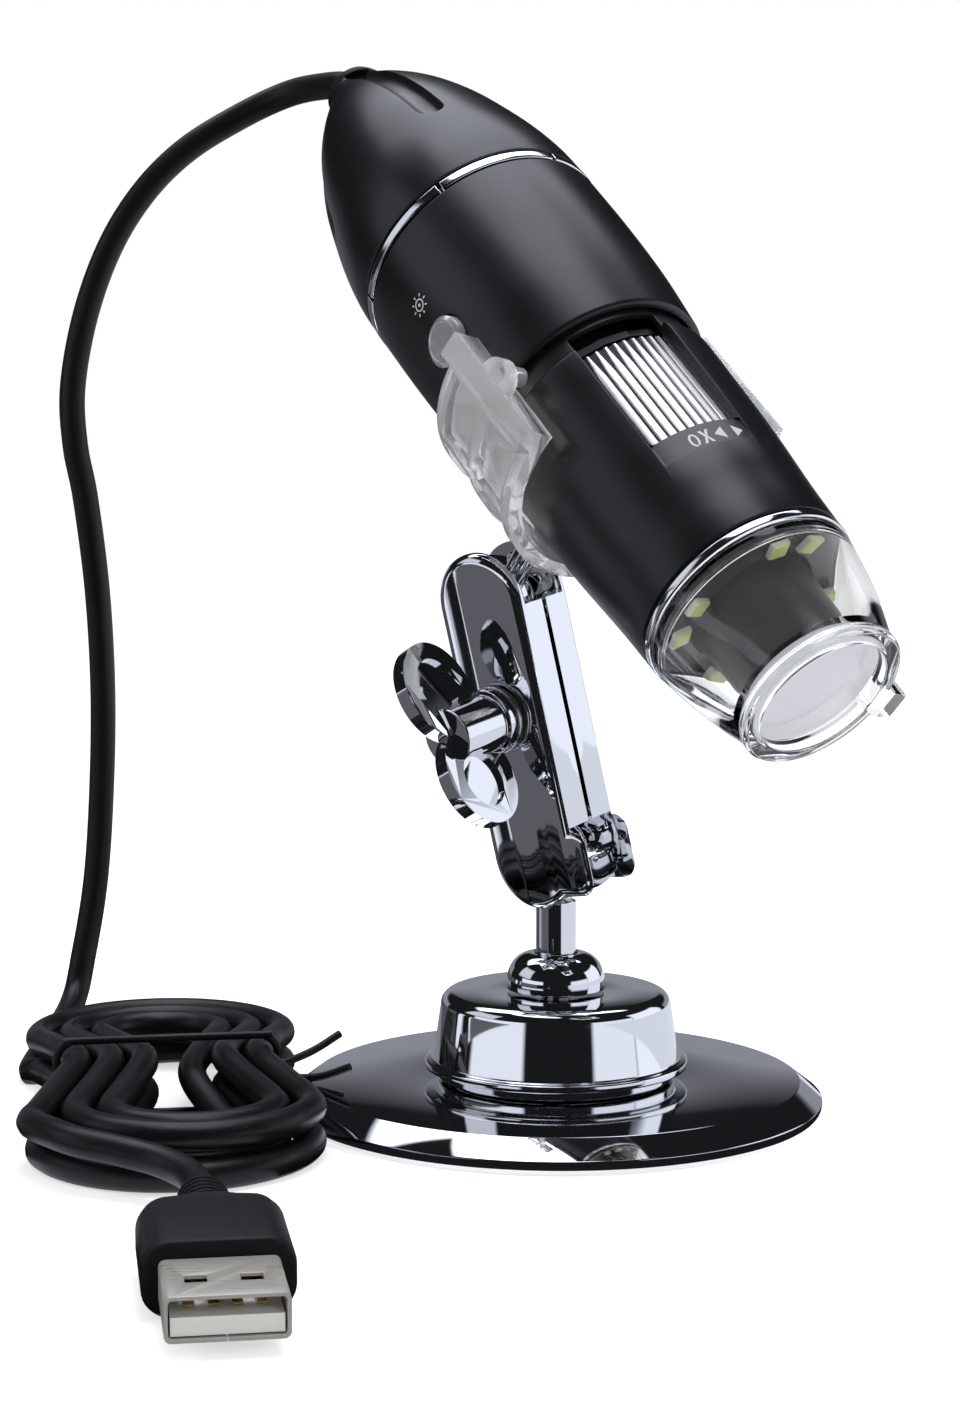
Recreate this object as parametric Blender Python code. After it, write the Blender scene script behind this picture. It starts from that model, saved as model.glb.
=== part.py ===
"""A handheld USB microscope in the clear clip of its chrome ball-joint stand, its cord wound into a hank.

Metres, +Z up. The origin is the centre of the stand's underside. The barrel's own frame has its origin at the
middle of the nose rim and +Z towards the cord, and its angles are counted from the stud of the stand.
"""

import math

import bmesh
import bpy
from mathutils import Euler, Matrix, Vector

# Clearances
seat_gap = 0.0003
running_gap = 0.0002
cut_overrun = 0.0020
merge_distance = 0.000002

# Edges: which stay sharp, and how the rounded ones are cut
sharp_angle = 32.0
edge_round_segments = 2
round_profile = 0.5

# Round pieces: how many steps go round
large_steps = 32
medium_steps = 24
small_steps = 14
ball_steps = 9
dome_steps = 5
corner_steps = 3
arm_end_steps = 10

# Stand: pad, plate, hub, collar, post
pad_inset = 0.0018
pad_thickness = 0.0010
plate_radius = 0.0340
plate_bevel = 0.00285
plate_edge_height = 0.0011
plate_edge_chamfer = 0.0006
plate_thickness = 0.0029
plate_foot = 0.0003
screw_radius = 0.0017
screw_head_radius = 0.0036
screw_head_height = 0.0011
screw_length = 0.0190
screw_slot_width = 0.0009
screw_slot_depth = 0.0005
hub_neck_radius = 0.0151
hub_neck_height = 0.0013
hub_flange_radius = 0.0168
hub_flange_height = 0.0010
hub_wall_radius = 0.0157
hub_top_radius = 0.0147
hub_height = 0.0109
hub_corner = 0.0016
hub_wall = 0.0016
collar_radius = 0.00625
collar_height = 0.0046
collar_lip_height = 0.0011
collar_top_radius = 0.0032
post_radius = 0.00255
post_length = 0.0114
post_pin_radius = 0.0012
post_pin_length = 0.0042
screw_hole_depth = 0.0060

# Ball joints
ball_radius = 0.0040
ball_neck_radius = 0.0021
ball_drop = 0.0062

# Clamp arm: two half shells, bolt, washer, wing nut
arm_span = 0.03275
arm_width = 0.0132
arm_thickness = 0.0109
arm_split_gap = 0.0008
arm_edge_round = 0.0013
arm_heading = 230.0
arm_lean = 9.4
arm_tip = 7.9
socket_gap = 0.00015
slot_half_width = 0.0038
slot_gap = 0.00035
slot_reach = 0.0125
cheek_reach = 0.0021
cheek_above = 0.0032
cheek_below = 0.0052
lower_slot_low_angle = -30.0
lower_slot_high_angle = 96.0
upper_slot_low_angle = -20.0
upper_slot_high_angle = 78.0
bolt_radius = 0.0019
bolt_head_radius = 0.0040
bolt_head_height = 0.0018
bolt_head_chamfer = 0.0004
bolt_reach = 0.0069
washer_radius = 0.0043
washer_thickness = 0.0009
nut_boss_radius = 0.0036
nut_boss_length = 0.0086
nut_collar_radius = 0.0042
nut_collar_length = 0.0012
wing_thickness = 0.0020
wing_length = 0.0064
wing_height = 0.0054
wing_spread = 0.0058
wing_lift = 0.0084
wing_bridge_height = 0.0058
wing_bridge_length = 0.0046
wing_dimple_depth = 0.0006
wing_dimple_share = 0.56
wing_dimple_out = 0.0006
wing_turn = 19.4
bolt_share = 0.565

# Barrel attitude and the clip's place on it
scope_heading = 127.2
scope_tilt = 50.6
scope_roll = 0.75
stud_reach = 0.02995
stud_station = 0.0495

# Clip
clip_web = 0.0009
clip_rib = 0.0009
clip_length = 0.0180
clip_station = 0.0490
clip_half_wrap = 104.8
clip_turn = -1.0
clip_window_length = 0.0058
clip_window_station = 0.0041
clip_window_angles = ((24.0, 54.0), (60.0, 90.0))
clip_lip_height = 0.0022
clip_lip_width = 0.0030
clip_pad_radius = 0.0045
clip_pad_height = 0.0006
eyelet_radius = 0.0026
eyelet_hole_radius = 0.0012
eyelet_hole_out = 0.0009
eyelet_thickness = 0.0014
stud_neck_radius = 0.0016

# Nose: clear cone, window, shroud, light ring
rim_radius = 0.01015
rim_opening_radius = 0.0080
rim_height = 0.0016
rim_lip = 0.0004
cone_root_radius = 0.0132
cone_front_radius = 0.0099
cone_height = 0.0150
cone_wall = 0.0014
cone_shares = ((0.0, 0.0), (0.14, 0.21), (0.51, 0.65), (1.0, 1.0))
ledge_depth = 0.0011
ledge_width = 0.0003
spigot_length = 0.0052
spigot_radius = 0.0124
spigot_wall = 0.0008
window_thickness = 0.0011
window_radius = 0.0085
window_seat_depth = 0.0018
lug_width = 0.0036
lug_reach = 0.0030
lug_height = 0.0034
lug_angle = 279.0
shroud_radius = 0.0074
shroud_wall = 0.0009
shroud_flange_thickness = 0.0010
led_board_thickness = 0.0010
led_circle_radius = 0.0097
led_size = 0.0022
led_edge_round = 0.0003
led_thickness = 0.0011
led_pair_angle = 26.0
led_pairs = 4
led_first_angle = 72.0

# Trim rings
front_ring_radius = 0.01335
front_ring_thickness = 0.0011
rear_ring_radius = 0.01635
rear_ring_thickness = 0.0013
ring_edge = 0.0003

# Lower housing, focus wheel, lens
lower_front_radius = 0.01335
lower_rear_radius = 0.0147
lower_length = 0.0317
lower_edge_round = 0.0006
lower_shares = ((0.0, 0.0), (0.20, 0.21), (0.51, 0.71), (0.90, 1.0))
neck_radius = 0.0139
neck_groove = 0.0029
neck_length = 0.0056
flange_thickness = 0.0017
guide_radius = 0.0107
guide_wall = 0.0010
guide_flange_radius = 0.0127
guide_flange_thickness = 0.0010
wheel_radius = 0.0129
wheel_inner_radius = 0.01095
wheel_length = 0.0172
wheel_rib_count = 66
wheel_rib_depth = 0.00035
window_angle = 158.2
window_half_angle = 24.5
window_start = 0.0146
window_overrun = 0.0022
label_length = 0.0034
label_overlap = 0.0005
label_floor_radius = 0.0139
chamber_floor = 0.0138
carrier_wall = 0.0013
carrier_length = 0.0200
carrier_front_wall = 0.0015
focus_travel = 0.0030
carrier_aperture_radius = 0.0050
lens_radius = 0.0060
lens_thickness = 0.0030
lens_bulge = 0.0008
lens_bulge_radius = 0.0044
bulge_shares = ((0.0, 1.0), (0.36, 0.87), (0.70, 0.51))
retainer_thickness = 0.0012
retainer_opening_radius = 0.0046

# Upper housing, rear cap, gland
upper_lip_radius = 0.0152
upper_shares = ((0.32, 0.70), (0.65, 1.0))
clip_seat_radius = 0.0159
upper_full_radius = 0.0163
upper_length = 0.0269
upper_lip_round = 0.0006
upper_bore_radius = 0.0142
cap_length = 0.0354
cap_wall = 0.0026
cap_end_radius = 0.0043
cap_spigot_length = 0.0038
cap_spigot_wall = 0.0010
cap_shares = (
    (0.0, 1.0),
    (0.11, 0.990),
    (0.24, 0.951),
    (0.38, 0.883),
    (0.52, 0.800),
    (0.65, 0.695),
    (0.76, 0.580),
    (0.86, 0.450),
    (0.935, 0.335),
    (0.98, 0.275),
)
cap_hollow_first = 2
cap_hollow_last = 8
flute_count = 4
flute_first_angle = 62.0
flute_radius = 0.0020
flute_depth = 0.0013
flute_first_point = 3
flute_start_shares = ((0.95, 0.31), (0.70, 0.71), (0.38, 0.92))
flute_sides = 10
gland_hole_radius = 0.0033
gland_flange_radius = 0.0040
gland_flange_thickness = 0.0006
gland_cuff_radius = 0.0036
gland_cuff_length = 0.0007
gland_mouth_radius = 0.0023
gland_floor_thickness = 0.0010
gland_neck_radius = 0.0030
gland_length = 0.0018

# Light button and electronics
button_angle = 90.8
button_station = 0.0620
button_seat_radius = 0.0161
button_radius = 0.0031
button_dome = 0.0004
button_dome_shares = (0.86, 0.55)
button_hole_gap = 0.0002
button_travel = 0.0006
button_flange_radius = 0.0040
button_flange_thickness = 0.0007
button_stand = 0.0003
button_end_gap = 0.0001
board_thickness = 0.0012
board_offset = 0.0090
board_width = 0.0180
board_length = 0.0200
sensor_size = 0.0060
sensor_thickness = 0.0012
switch_size = 0.0045
switch_height = 0.0015
switch_plunger_radius = 0.0010
chip_size = 0.0080
chip_thickness = 0.0010
connector_size = (0.0040, 0.0090, 0.0050)

# Cord, hank, tie, plug
cord_diameter = 0.0036
cord_lift = 0.00005
cord_sides_level = 2
hank_sides_level = 1
route_step = 0.0055
lead_route = (
    (-0.0318, 0.0345, 0.1330),
    (-0.0366, 0.0396, 0.1325),
    (-0.0430, 0.0415, 0.1298),
    (-0.0504, 0.0415, 0.1253),
    (-0.0563, 0.0415, 0.1196),
    (-0.0611, 0.0415, 0.1122),
    (-0.0647, 0.0415, 0.1028),
    (-0.0667, 0.0415, 0.0926),
    (-0.0665, 0.0417, 0.0845),
    (-0.0653, 0.0427, 0.0770),
    (-0.0640, 0.0440, 0.0640),
    (-0.0636, 0.0455, 0.0500),
    (-0.0642, 0.0475, 0.0360),
    (-0.0655, 0.0495, 0.0220),
    (-0.0672, 0.0480, 0.0110),
    (-0.0684, 0.0425, 0.0042),
)
hank_centre = (-0.0492, -0.0040)
hank_heading = 9.0
hank_length = 0.0720
hank_layer_loops = 3
hank_end_points = 8
hank_run_points = 4
hank_first_reach = 0.0078
hank_step = 0.0042
hank_layer_step = 0.0041
hank_waist_draw = 0.0048
hank_waist_reach = 0.0220
hank_waist_lift = 0.0014
plug_end_route = (
    (-0.0150, 0.0294, 0.0060),
    (-0.0119, 0.0340, 0.0059),
    (-0.0073, 0.0372, 0.0055),
    (-0.0028, 0.0403, 0.0049),
    (0.0002, 0.0448, 0.0044),
)
plug_place = (0.0012, 0.0540)
tie_radius = 0.0005
tie_tail = 0.0085
tie_corner = 0.0026
tie_half_pitch = 0.0008
tie_tail_shares = ((0.22, 0.10, 0.02), (0.60, 0.40, 0.10), (1.0, 0.62, 0.28))
plug_neck_length = 0.0075
plug_neck_radius = 0.0029
plug_width = 0.0154
plug_height = 0.0080
plug_length = 0.0205
plug_shoulder = 0.0050
plug_edge_round = 0.0010
round_share = 0.98
shell_width = 0.0120
shell_height = 0.0045
shell_length = 0.0120
shell_wall = 0.0004
shell_root = 0.0030
shell_hole_size = 0.0022
shell_hole_spread = 0.0027
shell_hole_back = 0.0055
tongue_thickness = 0.0018
contact_width = 0.0010
contact_thickness = 0.0002
contact_pitch = 0.0023
contact_root = 0.0010
contact_count = 4

# Plain looks
clear_alpha = 0.25
frosted_alpha = 0.85


def clear_scene():
    """Starts from an empty scene."""
    for thing in list(bpy.data.objects):
        bpy.data.objects.remove(thing, do_unlink=True)


def finish(name, colour, roughness, metallic, alpha=1.0):
    """A plain Principled material."""
    material = bpy.data.materials.new(name)
    material.use_nodes = True
    shader = material.node_tree.nodes["Principled BSDF"]
    shader.inputs["Base Color"].default_value = (*colour, 1.0)
    shader.inputs["Roughness"].default_value = roughness
    shader.inputs["Metallic"].default_value = metallic
    shader.inputs["Alpha"].default_value = alpha
    material.diffuse_color = (*colour, alpha)
    return material


def frame(name, place, turn):
    """An empty that carries the pieces of one moving group, with its origin on their joint."""
    empty = bpy.data.objects.new(name, None)
    bpy.context.scene.collection.objects.link(empty)
    empty.location = place
    empty.rotation_euler = turn
    return empty


def placed(name, bm, carrier, material, transform=None):
    """Makes an object of the mesh, in the carrier's frame."""
    if transform is not None:
        bm.transform(transform)
    bmesh.ops.remove_doubles(bm, verts=bm.verts, dist=merge_distance)
    bmesh.ops.recalc_face_normals(bm, faces=bm.faces)
    mesh = bpy.data.meshes.new(name)
    bm.to_mesh(mesh)
    bm.free()
    mesh.shade_smooth()
    mesh.set_sharp_from_angle(angle=math.radians(sharp_angle))
    if material is not None:
        mesh.materials.append(material)
    thing = bpy.data.objects.new(name, mesh)
    bpy.context.scene.collection.objects.link(thing)
    thing.parent = carrier
    return thing


def turned(name, outline, carrier, material, steps, transform=None, ring=False):
    """A solid of revolution about Z. The outline is (radius, height) points, closed on itself for a ring."""
    bm = bmesh.new()
    points = [bm.verts.new((radius, 0, height)) for radius, height in outline]
    following = points[1:] + points[:1] if ring else points[1:]
    edges = [bm.edges.new(pair) for pair in zip(points, following)]
    bmesh.ops.spin(
        bm, geom=points + edges, cent=(0, 0, 0), axis=(0, 0, 1), angle=math.tau, steps=steps, use_merge=True
    )
    return placed(name, bm, carrier, material, transform)


def extruded(name, outline, low, high, carrier, material, transform=None, edge_round=0):
    """A flat outline in X and Y, pulled along Z from low to high, with its top edge rounded if asked."""
    bm = bmesh.new()
    face = bm.faces.new([bm.verts.new((x, y, low)) for x, y in outline])
    made = bmesh.ops.extrude_face_region(bm, geom=[face])["geom"]
    top = [item for item in made if isinstance(item, bmesh.types.BMVert)]
    bmesh.ops.translate(bm, vec=(0, 0, high - low), verts=top)
    if edge_round:
        chosen = set(top)
        edges = [edge for edge in bm.edges if all(vert in chosen for vert in edge.verts)]
        bmesh.ops.bevel(
            bm, geom=edges, offset=edge_round, segments=edge_round_segments, profile=round_profile,
            affect="EDGES",
        )
    return placed(name, bm, carrier, material, transform)


def block(name, low, high, carrier, material, transform=None):
    """A box between two corners."""
    outline = ((low[0], low[1]), (high[0], low[1]), (high[0], high[1]), (low[0], high[1]))
    return extruded(name, outline, low[2], high[2], carrier, material, transform)


def rod(name, radius, low, high, carrier, material, steps, transform=None):
    """A plain cylinder along Z from low to high."""
    outline = ((0, low), (radius, low), (radius, high), (0, high))
    return turned(name, outline, carrier, material, steps, transform)


def ball(name, radius, carrier, material, steps, transform=None):
    """A sphere about the frame's origin."""
    bm = bmesh.new()
    bmesh.ops.create_uvsphere(bm, u_segments=steps, v_segments=steps // 2, radius=radius)
    return placed(name, bm, carrier, material, transform)


def sector(name, inner, outer, low, high, first, last, carrier, material, steps, transform=None):
    """A piece of a ring about Z between two angles in degrees."""
    turn = Matrix.Rotation(math.radians(first), 4, "Z")
    bm = bmesh.new()
    corners = ((inner, 0, low), (outer, 0, low), (outer, 0, high), (inner, 0, high))
    points = [bm.verts.new(turn @ Vector(corner)) for corner in corners]
    face = bm.faces.new(points)
    bmesh.ops.spin(
        bm, geom=[face, *face.edges, *points], cent=(0, 0, 0), axis=(0, 0, 1),
        angle=math.radians(last - first), steps=steps,
    )
    return placed(name, bm, carrier, material, transform)


def skinned(name, rings, carrier, material, transform=None):
    """A solid through closed rings of equally many points, capped at both ends."""
    bm = bmesh.new()
    rows = [[bm.verts.new(point) for point in ring] for ring in rings]
    for row, following in zip(rows, rows[1:]):
        count = len(row)
        for index in range(count):
            beside = (index + 1) % count
            bm.faces.new((row[index], row[beside], following[beside], following[index]))
    bm.faces.new(rows[0])
    bm.faces.new(rows[-1])
    return placed(name, bm, carrier, material, transform)


def combine(target, tool, operation):
    """Leaves an exact Boolean on the target and keeps its tool out of the model."""
    modifier = target.modifiers.new(f"{operation.lower()}_{tool.name}", "BOOLEAN")
    modifier.operation = operation
    modifier.object = tool
    modifier.solver = "EXACT"
    tool.hide_render = True
    tool.display_type = "WIRE"
    return target


def cut(target, *tools):
    """Takes each tool out of the target."""
    for tool in tools:
        combine(target, tool, "DIFFERENCE")
    return target


def fuse(target, *tools):
    """Joins each tool to the target."""
    for tool in tools:
        combine(target, tool, "UNION")
    return target


def tube(name, points, radius, sides_level, carrier, material):
    """A round tube along the points, with its ends filled."""
    curve = bpy.data.curves.new(name, "CURVE")
    curve.dimensions = "3D"
    curve.bevel_depth = radius
    curve.bevel_resolution = sides_level
    curve.use_fill_caps = True
    curve.twist_mode = "MINIMUM"
    spline = curve.splines.new("POLY")
    spline.points.add(len(points) - 1)
    for target, point in zip(spline.points, points):
        target.co = (*point, 1.0)
    curve.materials.append(material)
    thing = bpy.data.objects.new(name, curve)
    bpy.context.scene.collection.objects.link(thing)
    thing.parent = carrier
    return thing


def smooth_route(points, step):
    """Points about a step apart on a smooth curve through the given ones."""
    places = [Vector(point) for point in points]
    padded = [2 * places[0] - places[1], *places, 2 * places[-1] - places[-2]]
    found = [places[0]]
    for before, start, end, after in zip(padded, padded[1:], padded[2:], padded[3:]):
        count = max(1, round((end - start).length / step))
        for index in range(1, count + 1):
            share = index / count
            square, cube = share**2, share**3
            found.append(
                (
                    2 * start
                    + (end - before) * share
                    + (2 * before - 5 * start + 4 * end - after) * square
                    + (3 * start - before - 3 * end + after) * cube
                )
                / 2
            )
    return found


def arc(centre, radius, first, last, steps):
    """Points on a circle in a plane, from one angle to another in degrees."""
    angles = [math.radians(first + (last - first) * index / steps) for index in range(steps + 1)]
    return [(centre[0] + radius * math.cos(angle), centre[1] + radius * math.sin(angle)) for angle in angles]


def along_x():
    """Turns a piece made about Z so that it lies about X."""
    return Matrix.Rotation(math.radians(90), 4, "Y")


# Heights and radii on the barrel, counted from the nose rim
front_ring_low = cone_height + seat_gap
front_ring_high = front_ring_low + front_ring_thickness
lower_low = front_ring_high + seat_gap
lower_high = lower_low + lower_length
neck_high = lower_high + neck_length
upper_low = lower_high + neck_groove
upper_high = upper_low + upper_length
rear_ring_low = upper_high + seat_gap
rear_ring_high = rear_ring_low + rear_ring_thickness
cap_low = rear_ring_high + seat_gap
cap_high = cap_low + cap_length
gland_low = cap_high + seat_gap
gland_high = gland_low + gland_length
gland_root = cap_high - cap_wall
gland_floor = gland_root + gland_floor_thickness
spigot_high = cone_height + spigot_length
spigot_inner_radius = spigot_radius - spigot_wall
ledge_high = cone_height - ledge_depth
pocket_radius = window_radius + running_gap
window_low = window_seat_depth + seat_gap
window_high = window_low + window_thickness
shroud_low = window_high + seat_gap
led_board_low = ledge_high + seat_gap
led_board_high = led_board_low + led_board_thickness
shroud_flange_low = led_board_high + seat_gap
flange_low = spigot_high + seat_gap
flange_high = flange_low + flange_thickness
chamber_low = lower_low + chamber_floor
chamber_radius = wheel_radius + running_gap
wheel_low = chamber_low + seat_gap
wheel_high = wheel_low + wheel_length
guide_low = flange_high + seat_gap
guide_inner_radius = guide_radius - guide_wall
guide_flange_low = wheel_high + seat_gap
carrier_outer_radius = guide_inner_radius - running_gap
carrier_low = flange_high + focus_travel + seat_gap
lens_low = carrier_low + carrier_front_wall + seat_gap
lens_high = lens_low + lens_thickness
retainer_low = lens_high + seat_gap
retainer_high = retainer_low + retainer_thickness
lens_pocket_radius = lens_radius + running_gap
sensor_board_low = neck_high + seat_gap
sensor_board_high = sensor_board_low + board_thickness
main_board_low = sensor_board_high + seat_gap
main_board_outer = board_offset + board_thickness
switch_low = main_board_outer + seat_gap
switch_high = switch_low + switch_height
cap_spigot_radius = upper_bore_radius - seat_gap
clip_inner_radius = clip_seat_radius + running_gap
clip_web_radius = clip_inner_radius + clip_web
clip_outer_radius = clip_web_radius + clip_rib
clip_pad_outer = clip_outer_radius + clip_pad_height
button_flange_outer = math.sqrt(upper_bore_radius**2 - button_flange_radius**2) - running_gap
button_flange_inner = button_flange_outer - button_flange_thickness
button_top = button_seat_radius + button_travel + button_stand

# Heights and radii on the stand
pad_radius = plate_radius - pad_inset
plate_top_radius = plate_radius - plate_bevel
plate_low = pad_thickness + seat_gap
plate_high = plate_low + plate_thickness
hub_low = plate_high + seat_gap
hub_high = hub_low + hub_height
post_low = hub_high + seat_gap
post_high = post_low + post_length
ball_height = post_high + seat_gap + ball_drop
arm_face = arm_thickness / 2
washer_low = arm_face + seat_gap
nut_low = washer_low + washer_thickness + seat_gap
bolt_end = arm_face + bolt_reach

# Frames of the moving groups
arm_angles = (math.radians(arm_tip), math.radians(arm_lean), math.radians(arm_heading))
arm_turn = Euler(arm_angles).to_matrix().to_4x4()
arm_matrix = Matrix.Translation((0, 0, ball_height)) @ arm_turn
scope_turn = (
    Matrix.Rotation(math.radians(scope_heading), 4, "Z")
    @ Matrix.Rotation(math.radians(scope_tilt), 4, "Y")
    @ Matrix.Rotation(math.radians(scope_roll), 4, "Z")
)
upper_ball_place = arm_matrix @ Vector((0, 0, arm_span))
scope_shift = Matrix.Translation((-stud_reach, 0, -stud_station))
scope_matrix = Matrix.Translation(upper_ball_place) @ scope_turn @ scope_shift
hank_matrix = Matrix.Translation((*hank_centre, 0)) @ Matrix.Rotation(math.radians(hank_heading), 4, "Z")


def base_pad(stand, look):
    """Thin foot pad under the plate."""
    return rod("base_pad", pad_radius, 0, pad_thickness, stand, look["pad"], large_steps)


def base_plate(stand, look):
    """Round plate with a chamfered edge and a counterbore below for the screw's head."""
    hole = screw_radius + running_gap
    bore = screw_head_radius + running_gap
    bore_high = plate_low + screw_head_height + seat_gap
    edge_low = plate_foot + plate_edge_chamfer
    recess = pad_radius + seat_gap
    outline = (
        (bore, plate_low),
        (recess, plate_low),
        (recess, plate_foot),
        (plate_radius - plate_edge_chamfer, plate_foot),
        (plate_radius, edge_low),
        (plate_radius, edge_low + plate_edge_height),
        (plate_top_radius, plate_high),
        (hole, plate_high),
        (hole, bore_high),
        (bore, bore_high),
    )
    return turned("base_plate", outline, stand, look["chrome"], large_steps, ring=True)


def base_screw(stand, look):
    """Slotted screw from below, through plate and hub into the post."""
    head_high = plate_low + screw_head_height
    outline = (
        (0, plate_low),
        (screw_head_radius, plate_low),
        (screw_head_radius, head_high),
        (screw_radius, head_high),
        (screw_radius, plate_low + screw_length),
        (0, plate_low + screw_length),
    )
    screw = turned("base_screw", outline, stand, look["steel"], small_steps)
    reach = screw_head_radius + cut_overrun
    half = screw_slot_width / 2
    low = (-reach, -half, plate_low - cut_overrun)
    high = (reach, half, plate_low + screw_slot_depth)
    return cut(screw, block("base_screw_slot", low, high, stand, None))


def base_hub(stand, look):
    """Hollow cup with a foot flange."""
    hole = screw_radius + running_gap
    flange_foot = hub_low + hub_neck_height
    flange_top = flange_foot + hub_flange_height
    bore = hub_neck_radius - hub_wall
    corner = arc((hub_top_radius - hub_corner, hub_high - hub_corner), hub_corner, 0, 90, corner_steps)
    outline = (
        (bore, hub_low),
        (hub_neck_radius, hub_low),
        (hub_neck_radius, flange_foot),
        (hub_flange_radius, flange_foot),
        (hub_flange_radius, flange_top),
        (hub_wall_radius, flange_top),
        *corner,
        (hole, hub_high),
        (hole, hub_high - hub_wall),
        (bore - hub_corner, hub_high - hub_wall),
        (bore, hub_high - hub_wall - hub_corner),
    )
    return turned("base_hub", outline, stand, look["chrome"], large_steps, ring=True)


def base_collar(stand, look):
    """Domed ring round the foot of the post."""
    low = hub_high + seat_gap
    bore = post_radius + running_gap
    lip_high = low + collar_lip_height
    wide = collar_radius - collar_top_radius
    tall = collar_height - collar_lip_height
    dome = [(collar_top_radius + wide * x, lip_high + tall * y) for x, y in arc((0, 0), 1, 0, 90, dome_steps)]
    outline = ((bore, low), (collar_radius, low), *dome, (bore, low + collar_height))
    return turned("base_collar", outline, stand, look["chrome"], large_steps, ring=True)


def base_post(stand, look):
    """Short column with the screw's hole below and the ball's pin on top."""
    hole = screw_radius + running_gap
    hole_high = post_low + screw_hole_depth
    pin_high = post_high + post_pin_length
    outline = (
        (0, hole_high),
        (hole, hole_high),
        (hole, post_low),
        (post_radius, post_low),
        (post_radius, post_high),
        (post_pin_radius, post_high),
        (post_pin_radius, pin_high),
        (0, pin_high),
    )
    return turned("base_post", outline, stand, look["chrome"], medium_steps)


def lower_ball(carrier, look):
    """Ball with a neck, bored for the pin of the post, on which it swivels."""
    bore = post_pin_radius + running_gap
    bore_high = post_pin_length - ball_drop
    meeting = -math.degrees(math.acos(ball_neck_radius / ball_radius))
    outline = (
        (0, bore_high),
        (bore, bore_high),
        (bore, -ball_drop),
        (ball_neck_radius, -ball_drop),
        *arc((0, 0), ball_radius, meeting, 90, ball_steps)[:-1],
        (0, ball_radius),
    )
    return turned("lower_ball", outline, carrier, look["chrome"], medium_steps)


def across():
    """Turns an outline drawn in X and Y so that it stands in Y and Z and is pulled along X."""
    return Matrix(((0, 0, 1, 0), (1, 0, 0, 0), (0, 1, 0, 0), (0, 0, 0, 1)))


def fan(name, centre, way, low, high, spread, carrier, place):
    """The room that a neck sweeps through about a ball, between two angles counted from the arm's end."""

    def towards(angle):
        return math.sin(math.radians(angle)), way * math.cos(math.radians(angle))

    def point(side_angle, angle):
        side, ahead = towards(side_angle), towards(angle)
        return [spread * side[axis] + slot_reach * ahead[axis] for axis in range(2)]

    far = math.hypot(spread, slot_reach)
    between = [low + (high - low) * index / corner_steps for index in range(1, corner_steps)]
    shape = [
        [spread * value for value in towards(low - 90)],
        point(low - 90, low),
        *[[far * value for value in towards(angle)] for angle in between],
        point(high + 90, high),
        [spread * value for value in towards(high + 90)],
    ]
    outline = [(y, z + centre) for y, z in shape]
    return extruded(name, outline, -slot_half_width, slot_half_width, carrier, None, place @ across())


def arm_half(name, side, carrier, look, drop):
    """One shell of the clamp arm, in front for side 1 and behind for side -1, with both sockets and slots."""
    place = Matrix.Translation((0, 0, -drop))
    half = arm_width / 2
    lower_end = 360 - math.degrees(math.asin(cheek_below / half))
    outline = (
        *arc((0, arm_span), half, 0, 180, arm_end_steps),
        *arc((0, 0), half, 180, lower_end, arm_end_steps),
        *arc((half, cheek_reach - cheek_below), cheek_reach, -90, 0, corner_steps),
        *arc((half, cheek_above - cheek_reach), cheek_reach, 0, 90, corner_steps),
    )
    inner = side * arm_split_gap / 2
    shell = extruded(
        name, outline, inner, side * arm_face, carrier, look["chrome"], place @ across(), arm_edge_round
    )
    socket = ball_radius + socket_gap
    upper = place @ Matrix.Translation((0, 0, arm_span))
    lower_spread = post_radius + slot_gap
    upper_spread = stud_neck_radius + slot_gap
    bolt = place @ Matrix.Translation((0, 0, arm_span * bolt_share)) @ along_x()
    reach = arm_face + cut_overrun
    return cut(
        shell,
        ball(f"{name}_lower_socket", socket, carrier, None, medium_steps, place),
        ball(f"{name}_upper_socket", socket, carrier, None, medium_steps, upper),
        fan(
            f"{name}_lower_slot", 0, -1, lower_slot_low_angle, lower_slot_high_angle,
            lower_spread, carrier, place,
        ),
        fan(
            f"{name}_upper_slot", arm_span, 1, upper_slot_low_angle, upper_slot_high_angle,
            upper_spread, carrier,
            place,
        ),
        rod(f"{name}_bolt_hole", bolt_radius + running_gap, -reach, reach, carrier, None, small_steps, bolt),
    )


def clamp_bolt(carrier, look):
    """Bolt through both halves of the arm, its head behind."""
    head_low = -arm_face - seat_gap - bolt_head_height
    head_high = -arm_face - seat_gap
    outline = (
        (0, head_low),
        (bolt_head_radius - bolt_head_chamfer, head_low),
        (bolt_head_radius, head_low + bolt_head_chamfer),
        (bolt_head_radius, head_high),
        (bolt_radius, head_high),
        (bolt_radius, bolt_end),
        (0, bolt_end),
    )
    place = Matrix.Translation((0, 0, arm_span * bolt_share)) @ along_x()
    return turned("clamp_bolt", outline, carrier, look["chrome"], medium_steps, place)


def clamp_washer(carrier, look):
    """Flat washer under the wing nut."""
    bore = bolt_radius + running_gap
    high = washer_low + washer_thickness
    outline = ((bore, washer_low), (washer_radius, washer_low), (washer_radius, high), (bore, high))
    return turned("clamp_washer", outline, carrier, look["steel"], medium_steps, along_x(), ring=True)


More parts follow.
